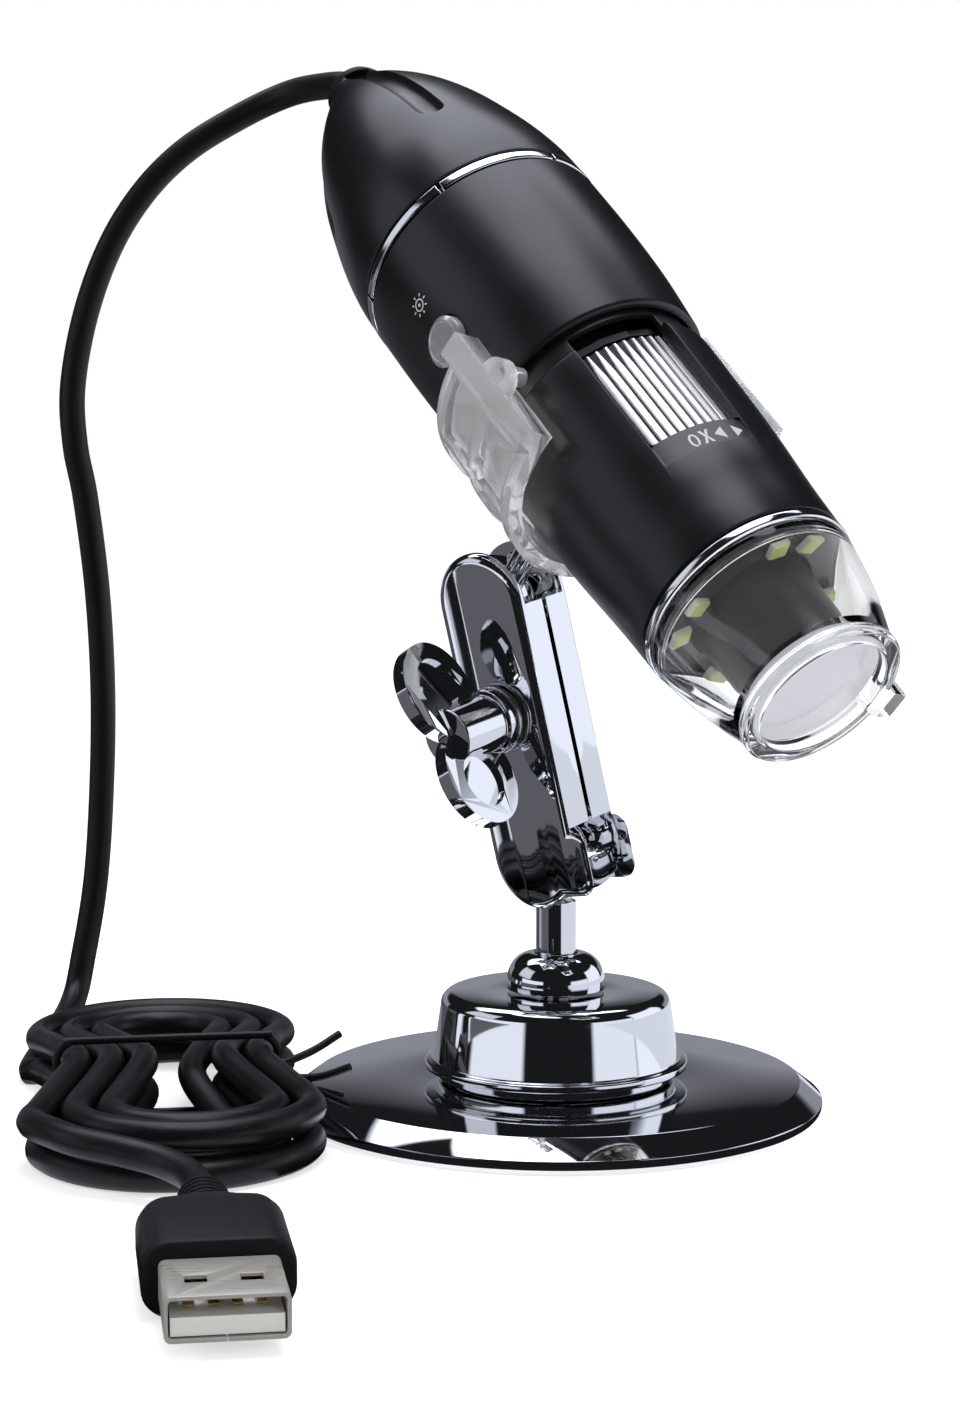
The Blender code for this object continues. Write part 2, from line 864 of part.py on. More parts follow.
def wing_nut(carrier, look):
    """Nut with two oval wings, a shallow oval dimple in each of their faces, and a blind bore."""
    place = along_x() @ Matrix.Rotation(math.radians(wing_turn), 4, "Z")
    bore = bolt_radius + running_gap
    collar_high = nut_low + nut_collar_length
    boss_high = nut_low + nut_boss_length
    bore_high = bolt_end + seat_gap
    outline = (
        (0, nut_low),
        (nut_collar_radius, nut_low),
        (nut_collar_radius, collar_high),
        (nut_boss_radius, collar_high),
        (nut_boss_radius, boss_high),
        (0, boss_high),
    )
    nut = turned("wing_nut", outline, carrier, look["chrome"], medium_steps, place)
    upright = place @ Matrix.Rotation(math.radians(90), 4, "X")
    half = wing_thickness / 2
    height = arm_face + wing_lift
    bridge_low = (-wing_bridge_length, boss_high - wing_bridge_height, -half)
    bridge_high = (wing_bridge_length, boss_high, half)
    fuse(nut, block("wing_nut_bridge", bridge_low, bridge_high, carrier, None, upright))
    for side in (-1, 1):
        for use, sizes, shift in (
            ("wing", 1.0, 0),
            ("dimple", wing_dimple_share, wing_dimple_out),
        ):
            oval = [
                (side * (wing_spread + shift) + wing_length * sizes * x, height + wing_height * sizes * y)
                for x, y in arc((0, 0), 1, 0, 360, medium_steps)[:-1]
            ]
            name = f"wing_nut_{use}_{side + 1}"
            if use == "wing":
                fuse(nut, extruded(name, oval, -half, half, carrier, None, upright))
                continue
            for face in (-1, 1):
                floor = face * (half - wing_dimple_depth)
                top = face * (half + cut_overrun)
                cut(nut, extruded(f"{name}_{face + 1}", oval, floor, top, carrier, None, upright))
    nut_bore = rod("wing_nut_bore", bore, nut_low - cut_overrun, bore_high, carrier, None, small_steps, place)
    return cut(nut, nut_bore)


def clip_ball(carrier, look):
    """Upper ball with the stud that holds the clip."""
    meeting = math.degrees(math.acos(stud_neck_radius / ball_radius))
    end = stud_reach - clip_web_radius
    outline = (
        (0, -ball_radius),
        *arc((0, 0), ball_radius, -90, meeting, ball_steps)[1:],
        (stud_neck_radius, end),
        (0, end),
    )
    inward = Matrix.Rotation(math.radians(-90), 4, "Y")
    return turned("clip_ball", outline, carrier, look["chrome"], medium_steps, inward)


def clip(carrier, look):
    """Clear C-shaped clip with window pockets in each arm, lip bars, an eyelet and a pad for the stud."""
    place = Matrix.Translation((-stud_reach, 0, -stud_station))
    low = clip_station - clip_length / 2
    high = low + clip_length
    first = clip_turn - clip_half_wrap
    last = clip_turn + clip_half_wrap
    lip_angle = math.degrees(clip_lip_width / clip_outer_radius)
    lip_outer = clip_outer_radius + clip_lip_height
    ring = sector(
        "clip", clip_inner_radius, clip_outer_radius, low, high, first, last, carrier, look["clear"],
        large_steps, place,
    )
    pad = place @ Matrix.Translation((0, 0, stud_station)) @ along_x()
    pad_low = (clip_inner_radius + clip_web_radius) / 2
    fuse(ring, rod("clip_pad", clip_pad_radius, pad_low, clip_pad_outer, carrier, None, medium_steps, pad))
    for name, start in (("clip_right_lip", first), ("clip_left_lip", last - lip_angle)):
        inner = (clip_inner_radius + clip_web_radius) / 2
        fuse(ring, sector(
            name, inner, lip_outer, low, high, start, start + lip_angle, carrier, None, corner_steps, place,
        ))
    half = eyelet_thickness / 2
    eyelet_turn = Matrix.Rotation(math.radians(last - lip_angle / 2), 4, "Z")
    eyelet = place @ eyelet_turn @ Matrix.Translation((lip_outer, 0, clip_station))
    eyelet = eyelet @ Matrix.Rotation(math.radians(90), 4, "X")
    fuse(ring, rod("clip_eyelet", eyelet_radius, -half, half, carrier, None, medium_steps, eyelet))
    reach = clip_lip_width
    hole_place = eyelet @ Matrix.Translation((eyelet_hole_out, 0, 0))
    hole = rod("clip_eyelet_hole", eyelet_hole_radius, -reach, reach, carrier, None, small_steps, hole_place)
    cut(ring, hole)
    hole = stud_neck_radius + running_gap
    inner = clip_inner_radius - cut_overrun
    outer = clip_pad_outer + cut_overrun
    cut(ring, rod("clip_hole", hole, inner, outer, carrier, None, small_steps, pad))
    for column, (start, end) in enumerate(clip_window_angles):
        for row, side in enumerate((-1, 1)):
            for arm in (-1, 1):
                window_low = clip_station + side * clip_window_station - clip_window_length / 2
                ends = sorted((clip_turn + arm * start, clip_turn + arm * end))
                name = f"clip_window_{column}_{row}_{arm + 1}"
                cut(ring, sector(
                    name, clip_web_radius, lip_outer, window_low, window_low + clip_window_length, *ends,
                    carrier, None, corner_steps * 2, place,
                ))
    return ring


def nose_cone(scope, look):
    """Clear cone with a rolled rim, a ledge for the light board, a spigot and a lug."""
    rise = cone_height - rim_height
    spread = cone_root_radius - cone_front_radius
    cone = [(cone_front_radius + spread * out, rim_height + rise * up) for up, out in cone_shares]
    outline = (
        (rim_opening_radius, 0),
        (rim_radius - rim_lip, 0),
        (rim_radius, rim_lip),
        (rim_radius, rim_height - rim_lip),
        *cone,
        (spigot_radius, cone_height),
        (spigot_radius, spigot_high),
        (spigot_inner_radius, spigot_high),
        (spigot_inner_radius, ledge_high),
        (spigot_inner_radius - ledge_width, ledge_high),
        (pocket_radius, shroud_low),
        (pocket_radius, window_seat_depth),
        (rim_opening_radius, window_seat_depth),
    )
    cone = turned("nose_cone", outline, scope, look["clear"], large_steps, ring=True)
    half = lug_width / 2
    place = Matrix.Rotation(math.radians(lug_angle), 4, "Z")
    low = (rim_radius - cone_wall / 2, -half, 0)
    high = (rim_radius + lug_reach, half, lug_height)
    return fuse(cone, block("nose_lug", low, high, scope, None, place))


def front_window(scope, look):
    """Frosted disc behind the rim."""
    return rod("front_window", window_radius, window_low, window_high, scope, look["frosted"], large_steps)


def lens_shroud(scope, look):
    """Dark tube behind the window, with a flanged cup that the housing holds against the light board."""
    inner = shroud_radius - shroud_wall
    cup = spigot_inner_radius - running_gap
    flange_back = shroud_flange_low + shroud_flange_thickness
    outline = (
        (inner, shroud_low),
        (shroud_radius, shroud_low),
        (shroud_radius, shroud_flange_low),
        (cup, shroud_flange_low),
        (cup, spigot_high),
        (cup - shroud_wall, spigot_high),
        (cup - shroud_wall, flange_back),
        (shroud_radius, flange_back),
        (shroud_radius, spigot_high),
        (inner, spigot_high),
    )
    return turned("lens_shroud", outline, scope, look["dark"], medium_steps, ring=True)


def led_board(scope, look):
    """Ring board that carries the lights."""
    inner = shroud_radius + seat_gap
    outer = spigot_inner_radius - running_gap
    low, high = led_board_low, led_board_high
    outline = ((inner, low), (outer, low), (outer, high), (inner, high))
    return turned("led_board", outline, scope, look["board"], medium_steps, ring=True)


def leds(scope, look):
    """Lights in pairs on the front of the ring board."""
    half = led_size / 2
    foot = led_board_low - seat_gap
    square = ((-half, -half), (half, -half), (half, half), (-half, half))
    made = []
    for pair in range(led_pairs):
        for side in range(2):
            angle = led_first_angle + 360 / led_pairs * pair + led_pair_angle * side
            turn = Matrix.Rotation(math.radians(angle), 4, "Z")
            place = turn @ Matrix.Translation((led_circle_radius, 0, 0))
            name = f"led_{2 * pair + side + 1}"
            made.append(
                extruded(name, square, foot, foot - led_thickness, scope, look["led"], place, led_edge_round)
            )
    return made


def trim_ring(name, inner, outer, low, high, scope, look):
    """Bright ring between two lengths of the barrel."""
    outline = (
        (inner, low),
        (outer - ring_edge, low),
        (outer, low + ring_edge),
        (outer, high - ring_edge),
        (outer - ring_edge, high),
        (inner, high),
    )
    return turned(name, outline, scope, look["chrome"], large_steps, ring=True)


def lower_housing(scope, look):
    """Front length of the barrel: wheel chamber, window on the wheel, recess for the dial, rear neck."""
    spread = lower_rear_radius - lower_front_radius
    side = [(lower_front_radius + spread * out, lower_low + lower_length * up) for up, out in lower_shares]
    bore = spigot_radius + running_gap
    seat = guide_radius + running_gap
    hole = guide_inner_radius + running_gap
    outline = (
        (bore, lower_low),
        *side,
        (lower_rear_radius, lower_high - lower_edge_round),
        (lower_rear_radius - lower_edge_round, lower_high),
        (neck_radius, lower_high),
        (neck_radius, neck_high),
        (chamber_radius, neck_high),
        (chamber_radius, chamber_low),
        (seat, chamber_low),
        (seat, flange_high),
        (hole, flange_high),
        (hole, flange_low),
        (bore, flange_low),
    )
    housing = turned("lower_housing", outline, scope, look["black"], large_steps, ring=True)
    first = window_angle - window_half_angle
    last = window_angle + window_half_angle
    low = lower_low + window_start
    high = lower_high + window_overrun
    outer = lower_rear_radius + cut_overrun
    inner = chamber_radius - cut_overrun
    window = sector("wheel_window", inner, outer, low, high, first, last, scope, None, small_steps)
    recess = sector(
        "label_recess", label_floor_radius, outer, low - label_length, low + label_overlap,
        first, last, scope,
        None, small_steps,
    )
    return cut(housing, window, recess)


def guide_tube(scope, look):
    """Tube on which the wheel turns and in which the lens carrier slides; its flange keeps the wheel in."""
    flange_back = guide_flange_low + guide_flange_thickness
    outline = (
        (guide_inner_radius, guide_low),
        (guide_radius, guide_low),
        (guide_radius, guide_flange_low),
        (guide_flange_radius, guide_flange_low),
        (guide_flange_radius, flange_back),
        (guide_radius, flange_back),
        (guide_radius, neck_high),
        (guide_inner_radius, neck_high),
    )
    return turned("guide_tube", outline, scope, look["dark"], medium_steps, ring=True)


def focus_wheel(scope, look):
    """Wheel with fine ribs along the barrel."""
    count = 2 * wheel_rib_count
    outline = []
    for index in range(count):
        radius = wheel_radius - wheel_rib_depth * (index % 2)
        angle = math.tau * index / count
        outline.append((radius * math.cos(angle), radius * math.sin(angle)))
    wheel = extruded("focus_wheel", outline, wheel_low, wheel_high, scope, look["silver"])
    low = wheel_low - cut_overrun
    high = wheel_high + cut_overrun
    return cut(wheel, rod("wheel_bore", wheel_inner_radius, low, high, scope, None, large_steps))


def lens_carrier(scope, look):
    """Sliding barrel with a pocket for the lens behind its aperture."""
    inner = carrier_outer_radius - carrier_wall
    high = carrier_low + carrier_length
    pocket_low = carrier_low + carrier_front_wall
    outline = (
        (carrier_aperture_radius, carrier_low),
        (carrier_outer_radius, carrier_low),
        (carrier_outer_radius, high),
        (inner, high),
        (inner, retainer_high),
        (lens_pocket_radius, retainer_high),
        (lens_pocket_radius, pocket_low),
        (carrier_aperture_radius, pocket_low),
    )
    return turned("lens_carrier", outline, scope, look["dark"], medium_steps, ring=True)


def objective_lens(scope, look):
    """Lens, domed on both sides within its flat rim."""
    front = [(lens_bulge_radius * out, lens_low - lens_bulge * up) for out, up in bulge_shares]
    back = [(lens_bulge_radius * out, lens_high + lens_bulge * up) for out, up in reversed(bulge_shares)]
    outline = (
        *front,
        (lens_bulge_radius, lens_low),
        (lens_radius, lens_low),
        (lens_radius, lens_high),
        (lens_bulge_radius, lens_high),
        *back,
    )
    return turned("objective_lens", outline, scope, look["glass"], medium_steps)


def lens_retainer(scope, look):
    """Ring that keeps the lens in its pocket."""
    outline = (
        (retainer_opening_radius, retainer_low),
        (lens_radius, retainer_low),
        (lens_radius, retainer_high),
        (retainer_opening_radius, retainer_high),
    )
    return turned("lens_retainer", outline, scope, look["dark"], medium_steps, ring=True)


def button_frame():
    """Place on the barrel from which the light button's pieces are measured outwards along Z."""
    turn = Matrix.Rotation(math.radians(button_angle), 4, "Z")
    return turn @ Matrix.Translation((0, 0, button_station)) @ along_x()


def upper_housing(scope, look):
    """Rear length of the barrel, with a rounded lip and the hole of the light button."""
    spread = upper_full_radius - upper_lip_radius
    side = [(upper_lip_radius + spread * out, upper_low + upper_length * up) for up, out in upper_shares]
    outline = (
        (upper_bore_radius, upper_low),
        (upper_lip_radius - upper_lip_round, upper_low),
        (upper_lip_radius, upper_low + upper_lip_round),
        *side,
        (upper_full_radius, upper_high),
        (upper_bore_radius, upper_high),
    )
    housing = turned("upper_housing", outline, scope, look["black"], large_steps, ring=True)
    hole = button_radius + button_hole_gap
    low = button_flange_inner
    high = upper_full_radius + cut_overrun
    return cut(housing, rod("button_hole", hole, low, high, scope, None, medium_steps, button_frame()))


def led_button(scope, look):
    """Round button with a flange inside the housing and a low dome."""
    dome_low = button_top - button_dome
    dome = [(button_radius * out, dome_low + button_dome * (1 - out**2)) for out in button_dome_shares]
    outline = (
        (0, button_flange_inner),
        (button_flange_radius, button_flange_inner),
        (button_flange_radius, button_flange_outer),
        (button_radius, button_flange_outer),
        (button_radius, dome_low),
        *dome,
        (0, button_top),
    )
    return turned("led_button", outline, scope, look["button"], medium_steps, button_frame())


def sensor_board(scope, look):
    """Round board on the end of the lower housing's neck."""
    return rod(
        "sensor_board", cap_spigot_radius, sensor_board_low, sensor_board_high,
        scope, look["board"], medium_steps,
    )


def image_sensor(scope, look):
    """Sensor chip that looks down the guide tube."""
    half = sensor_size / 2
    high = sensor_board_low - seat_gap
    return block(
        "image_sensor", (-half, -half, high - sensor_thickness), (half, half, high), scope, look["chip"]
    )


def main_board(scope, look):
    """Board along the barrel under the light button."""
    half = board_width / 2
    place = Matrix.Rotation(math.radians(button_angle), 4, "Z")
    low = (board_offset, -half, main_board_low)
    high = (main_board_outer, half, main_board_low + board_length)
    return block("main_board", low, high, scope, look["board"], place)


def button_switch(scope, look):
    """Push switch on the main board, its plunger under the light button."""
    half = switch_size / 2
    base = block(
        "button_switch", (-half, -half, switch_low), (half, half, switch_high),
        scope, look["chip"], button_frame(),
    )
    high = button_flange_inner - button_travel - button_end_gap
    low = (switch_low + switch_high) / 2
    return fuse(
        base,
        rod("button_plunger", switch_plunger_radius, low, high, scope, None, small_steps, button_frame()),
    )


def control_chip(scope, look):
    """Chip on the inner face of the main board."""
    half = chip_size / 2
    place = Matrix.Rotation(math.radians(button_angle), 4, "Z")
    high = board_offset - seat_gap
    low_corner = (high - chip_thickness, -half, button_station - half)
    return block("control_chip", low_corner, (high, half, button_station + half), scope, look["chip"], place)


def cable_connector(scope, look):
    """Connector for the cord's wires at the rear of the main board."""
    deep, wide, tall = connector_size
    place = Matrix.Rotation(math.radians(button_angle), 4, "Z")
    outer = board_offset - seat_gap
    high = main_board_low + board_length
    low_corner = (outer - deep, -wide / 2, high - tall)
    return block("cable_connector", low_corner, (outer, wide / 2, high), scope, look["white"], place)


def flute_rings(side):
    """Rings of a scoop that follows the cap's side from a rounded start out through its end."""
    path = [Vector((radius, 0, height)) for radius, height in side[flute_first_point:]]
    first = (path[1] - path[0]).normalized()
    last = (path[-1] - path[-2]).normalized()
    starts = [(back, flute_radius * size) for back, size in flute_start_shares]
    stations = [(path[0] - first * flute_radius * back, first, size) for back, size in starts]
    stations.append((path[0], first, flute_radius))
    for before, place, after in zip(path, path[1:], path[2:]):
        stations.append((place, (after - before).normalized(), flute_radius))
    stations.append((path[-1] + last * cut_overrun, last, flute_radius))
    rings = []
    for place, ahead, radius in stations:
        outward = Vector((ahead.z, 0, -ahead.x))
        beside = ahead.cross(outward)
        centre = place + outward * (flute_radius - flute_depth)
        ring = []
        for index in range(flute_sides):
            angle = math.tau * index / flute_sides
            ring.append(centre + (outward * math.cos(angle) + beside * math.sin(angle)) * radius)
        rings.append(ring)
    return rings


def rear_cap(scope, look):
    """Domed cap with a spigot, the gland's hole at its end and scooped flutes round it."""
    side = [(upper_full_radius * out, cap_low + cap_length * up) for up, out in cap_shares]
    kept = side[cap_hollow_first:cap_hollow_last]
    hollow = [(radius - cap_wall, height) for radius, height in reversed(kept)]
    spigot_inner = cap_spigot_radius - cap_spigot_wall
    spigot_low = cap_low - cap_spigot_length
    outline = (
        *side,
        (cap_end_radius, cap_high),
        (gland_hole_radius, cap_high),
        (gland_hole_radius, cap_high - cap_wall),
        *hollow,
        (spigot_inner, cap_low),
        (spigot_inner, spigot_low),
        (cap_spigot_radius, spigot_low),
        (cap_spigot_radius, cap_low),
    )
    cap = turned("rear_cap", outline, scope, look["black"], large_steps, ring=True)
    for index in range(flute_count):
        turn = Matrix.Rotation(math.radians(flute_first_angle + 360 / flute_count * index), 4, "Z")
        cut(cap, skinned(f"cap_flute_{index}", flute_rings(side), scope, None, turn))
    return cap


def cable_gland(scope, look):
    """Gland in the end of the cap, with a flared bore on whose floor the cord ends."""
    flange_back = gland_low + gland_flange_thickness
    cuff_back = flange_back + gland_cuff_length
    bore = cord_diameter / 2 + seat_gap
    outline = (
        (0, gland_root),
        (gland_neck_radius, gland_root),
        (gland_neck_radius, gland_low),
        (gland_flange_radius, gland_low),
        (gland_flange_radius, flange_back),
        (gland_cuff_radius, flange_back),
        (gland_cuff_radius, cuff_back),
        (gland_mouth_radius, gland_high),
        (bore, flange_back),
        (bore, gland_floor),
        (0, gland_floor),
    )
    return turned("cable_gland", outline, scope, look["rubber"], medium_steps)


def lead_points():
    """Centre line of the free stretch of cord, from the gland to the start of the hank."""
    end = scope_matrix @ Vector((0, 0, gland_floor + seat_gap))
    ahead = scope_matrix @ Vector((0, 0, gland_floor + seat_gap + cord_diameter))
    before, start = hank_points()[0], hank_points()[1]
    back = (before - start).normalized()
    landing = before + back * seat_gap
    return smooth_route((end, ahead, *lead_route, landing + back * cord_diameter, landing), route_step)


def hank_points():
    """Centre line of the hank: loops spiral inwards on the floor, climb, and spiral out on top."""
    half_steps = [hank_first_reach + hank_step * index for index in range(hank_layer_loops)]
    inward = [(-side, side) for side in reversed(half_steps)]
    outward = [(-side, further) for side, further in zip(half_steps, half_steps[1:])]
    sides = [place for pair in inward + outward for place in pair] + [-half_steps[-1]]
    centre = hank_length / 2 - half_steps[-1]
    low = cord_diameter / 2 + cord_lift
    climb = 2 * hank_layer_loops - 1
    points = []
    for index, side in enumerate(sides):
        way = 1 if side < 0 else -1
        for step in range(hank_run_points):
            along = centre * way * (1 - 2 * step / hank_run_points)
            rise = 1 if index > climb else 0
            if index == climb:
                share = step / hank_run_points
                rise = share * share * (3 - 2 * share)
            points.append(Vector((side, along, low + hank_layer_step * rise)))
        if index + 1 == len(sides):
            points.append(Vector((side, -centre * way, low + hank_layer_step)))
            continue
        middle = (side + sides[index + 1]) / 2
        radius = abs(side - sides[index + 1]) / 2
        height = low + hank_layer_step * (1 if index >= climb else 0)
        for step in range(hank_end_points):
            angle = math.pi * step / hank_end_points
            out = radius * math.sin(angle)
            points.append(Vector((middle - way * radius * math.cos(angle), -way * (centre + out), height)))
    for point in points:
        drawn = max(0, 1 - abs(point.y) / hank_waist_reach)
        drawn = drawn * drawn * (3 - 2 * drawn)
        point.x -= math.copysign(min(hank_waist_draw * drawn, abs(point.x)), point.x)
        point.z += hank_waist_lift * drawn
    return [hank_matrix @ point for point in points]


def least_gap(points, reach):
    """Least distance between two stretches of the line that are further apart along it than the reach."""
    lengths = [0]
    for point, following in zip(points, points[1:]):
        lengths.append(lengths[-1] + (following - point).length)
    least = math.inf
    for index in range(len(points) - 1):
        for other in range(index + 1, len(points) - 1):
            if lengths[other] - lengths[index + 1] < reach:
                continue
            ends = closest_ends(points[index], points[index + 1], points[other], points[other + 1])
            least = min(least, (ends[0] - ends[1]).length)
    return least


def closest_ends(start, end, other_start, other_end):
    """The two nearest of some points read evenly along two short straight pieces."""
    shares = [index / corner_steps for index in range(corner_steps + 1)]
    first = [start.lerp(end, share) for share in shares]
    second = [other_start.lerp(other_end, share) for share in shares]
    return min(((a, b) for a in first for b in second), key=lambda pair: (pair[0] - pair[1]).length)


def tie_points():
    """Centre line of the wire round the hank's waist, with both ends standing off at the side."""
    side = hank_first_reach + hank_step * (hank_layer_loops - 1) - hank_waist_draw
    low = cord_diameter / 2 + cord_lift + hank_waist_lift
    high = low + hank_layer_step
    ring = [
        *[(x, z) for x, z in arc((side, low), tie_corner, 0, -90, corner_steps)],
        *[(x, z) for x, z in arc((-side, low), tie_corner, -90, -180, corner_steps)],
        *[(x, z) for x, z in arc((-side, high), tie_corner, 180, 90, corner_steps)],
        *[(x, z) for x, z in arc((side, high), tie_corner, 90, 0, corner_steps)],
    ]
    count = len(ring) - 1
    points = [
        Vector((x, tie_half_pitch * (2 * index / count - 1), z)) for index, (x, z) in enumerate(ring)
    ]
    middle = (low + high) / 2
    first = Vector((side + tie_corner, -tie_half_pitch, middle - tie_half_pitch))
    last = Vector((side + tie_corner, tie_half_pitch, middle + tie_half_pitch))
    tail = [first + tie_tail * Vector((out, -along, up)) for out, along, up in tie_tail_shares]
    other = [last + tie_tail * Vector((out, along, up)) for out, along, up in tie_tail_shares]
    return [hank_matrix @ point for point in (*reversed(tail), first, *points, last, *other)]


def plug_matrix():
    """Frame of the plug: Y runs from the cord's end towards the tip, Z is up."""
    height = plug_height / 2 + cord_lift
    turn = Matrix.Rotation(math.radians(180), 4, "Z")
    return hank_matrix @ Matrix.Translation((plug_place[0], -plug_place[1], height)) @ turn


def plug_end_points():
    """Centre line of the cord from the hank to the plug."""
    start, before = hank_points()[-1], hank_points()[-2]
    ahead = (start - before).normalized()
    leaving = start + ahead * seat_gap
    end = plug_matrix() @ Vector((0, -seat_gap, 0))
    straight = plug_matrix() @ Vector((0, -seat_gap - cord_diameter, 0))
    between = [hank_matrix @ Vector((x, -y, z)) for x, y, z in plug_end_route]
    return smooth_route((leaving, leaving + ahead * cord_diameter, *between, straight, end), route_step)


def rounded_ring(half_width, half_height, corner, place):
    """Points of a rounded rectangle in X and Z at a place along Y."""
    points = []
    for index, (x, z) in enumerate(((1, 1), (-1, 1), (-1, -1), (1, -1))):
        centre = (x * (half_width - corner), z * (half_height - corner))
        points += [(a, place, b) for a, b in arc(centre, corner, 90 * index, 90 * index + 90, corner_steps)]
    return points


def plug_body(stand, look):
    """Moulded grip of the plug with a shoulder and a round neck."""
    wide, tall = plug_width / 2, plug_height / 2
    neck = plug_neck_radius
    back = plug_neck_length + plug_shoulder
    end = plug_neck_length + plug_length
    edge = plug_edge_round
    rings = (
        rounded_ring(neck, neck, neck * round_share, 0),
        rounded_ring(neck, neck, neck * round_share, plug_neck_length),
        rounded_ring((wide + neck) / 2, (tall + neck) / 2, neck * round_share, plug_neck_length + edge),
        rounded_ring(wide, tall, tall / 2, back),
        rounded_ring(wide, tall, tall / 2, end - edge),
        rounded_ring(wide - edge, tall - edge, tall / 2, end),
    )
    return skinned("plug_body", rings, stand, look["cord"], plug_matrix())


def plug_shell(stand, look):
    """Sheet metal shell with two square holes in its upper face and two in its lower one."""
    low = plug_neck_length + plug_length + seat_gap
    high = low + shell_length
    wide, tall = shell_width / 2, shell_height / 2
    place = plug_matrix()
    shell = block("plug_shell", (-wide, low, -tall), (wide, high, tall), stand, look["steel"], place)
    inner_low = (shell_wall - wide, low - cut_overrun, shell_wall - tall)
    inner_high = (wide - shell_wall, high + cut_overrun, tall - shell_wall)
    cut(shell, block("plug_shell_inside", inner_low, inner_high, stand, None, place))
    half = shell_hole_size / 2
    for side in (-1, 1):
        middle = side * shell_hole_spread
        hole_low = (middle - half, high - shell_hole_back - half, -tall - cut_overrun)
        hole_high = (middle + half, high - shell_hole_back + half, tall + cut_overrun)
        cut(shell, block(f"plug_shell_hole_{side + 1}", hole_low, hole_high, stand, None, place))
    return shell


def plug_tongue(stand, look):
    """Insulating tongue in the shell."""
    low = plug_neck_length + plug_length + seat_gap
    wide = shell_width / 2 - shell_wall - running_gap
    foot = shell_wall - shell_height / 2 + running_gap
    high = low + shell_length - shell_wall
    return block(
        "plug_tongue", (-wide, low, foot), (wide, high, foot + tongue_thickness),
        stand, look["white"], plug_matrix(),
    )


def plug_contacts(stand, look):
    """Four contacts on the tongue, joined at their root."""
    low = plug_neck_length + plug_length + seat_gap
    foot = shell_wall - shell_height / 2 + running_gap + tongue_thickness + running_gap
    top = foot + contact_thickness
    high = low + shell_length - shell_root
    half = contact_width / 2
    reach = contact_pitch * (contact_count - 1) / 2
    outline = [(reach + half, low), (-reach - half, low)]
    for index in range(contact_count):
        middle = contact_pitch * index - reach
        outline += [(middle - half, high), (middle + half, high)]
        if index + 1 < contact_count:
            root = low + contact_root
            outline += [(middle + half, root), (middle + contact_pitch - half, root)]
    return extruded("plug_contacts", outline, foot, top, stand, look["gold"], plug_matrix())


def finishes():
    """Materials of the pieces."""
    return {
        "chrome": finish("chrome", (0.80, 0.80, 0.82), 0.08, 1.0),
        "steel": finish("steel", (0.62, 0.62, 0.64), 0.30, 1.0),
        "pad": finish("pad", (0.05, 0.05, 0.05), 0.80, 0.0),
        "black": finish("satin_black", (0.015, 0.015, 0.018), 0.35, 0.0),
        "silver": finish("silver_white", (0.80, 0.80, 0.80), 0.35, 0.0),
        "clear": finish("clear_plastic", (0.90, 0.92, 0.92), 0.05, 0.0, clear_alpha),
        "frosted": finish("frosted_white", (0.82, 0.82, 0.80), 0.55, 0.0, frosted_alpha),
        "dark": finish("dark_plastic", (0.02, 0.02, 0.02), 0.55, 0.0),
        "glass": finish("lens_glass", (0.90, 0.94, 0.95), 0.02, 0.0, clear_alpha),
        "led": finish("led_yellow", (0.80, 0.80, 0.35), 0.30, 0.0),
        "board": finish("board_green", (0.03, 0.20, 0.08), 0.50, 0.0),
        "chip": finish("chip_black", (0.03, 0.03, 0.03), 0.45, 0.0),
        "white": finish("white_plastic", (0.78, 0.78, 0.76), 0.45, 0.0),
        "button": finish("button_grey", (0.60, 0.60, 0.60), 0.35, 0.0),
        "rubber": finish("gland_rubber", (0.02, 0.02, 0.02), 0.65, 0.0),
        "cord": finish("cord_black", (0.02, 0.02, 0.02), 0.45, 0.0),
        "gold": finish("contact_gold", (0.83, 0.62, 0.25), 0.25, 1.0),
    }


def build_stand(look):
    """Base, post, arm, clamp, nut and upper ball."""
    stand = frame("stand_frame", (0, 0, 0), (0, 0, 0))
    swivel = frame("lower_ball_frame", (0, 0, ball_height), (0, 0, 0))
    arm = frame("arm_frame", arm_matrix.translation, arm_turn.to_euler())
    middle = arm_matrix @ Vector((0, 0, arm_span * bolt_share))
    clamp = frame("clamp_frame", middle, arm_turn.to_euler())
    nut = frame("wing_nut_frame", middle, arm_turn.to_euler())
    upper = frame("upper_ball_frame", upper_ball_place, scope_turn.to_euler())
    base_pad(stand, look)
    base_plate(stand, look)
    base_screw(stand, look)
    base_hub(stand, look)
    base_collar(stand, look)
    base_post(stand, look)
    lower_ball(swivel, look)
    arm_half("arm_rear_half", -1, arm, look, 0)
    clamp_bolt(arm, look)
    arm_half("arm_front_half", 1, clamp, look, arm_span * bolt_share)
    clamp_washer(clamp, look)
    wing_nut(nut, look)
    clip_ball(upper, look)


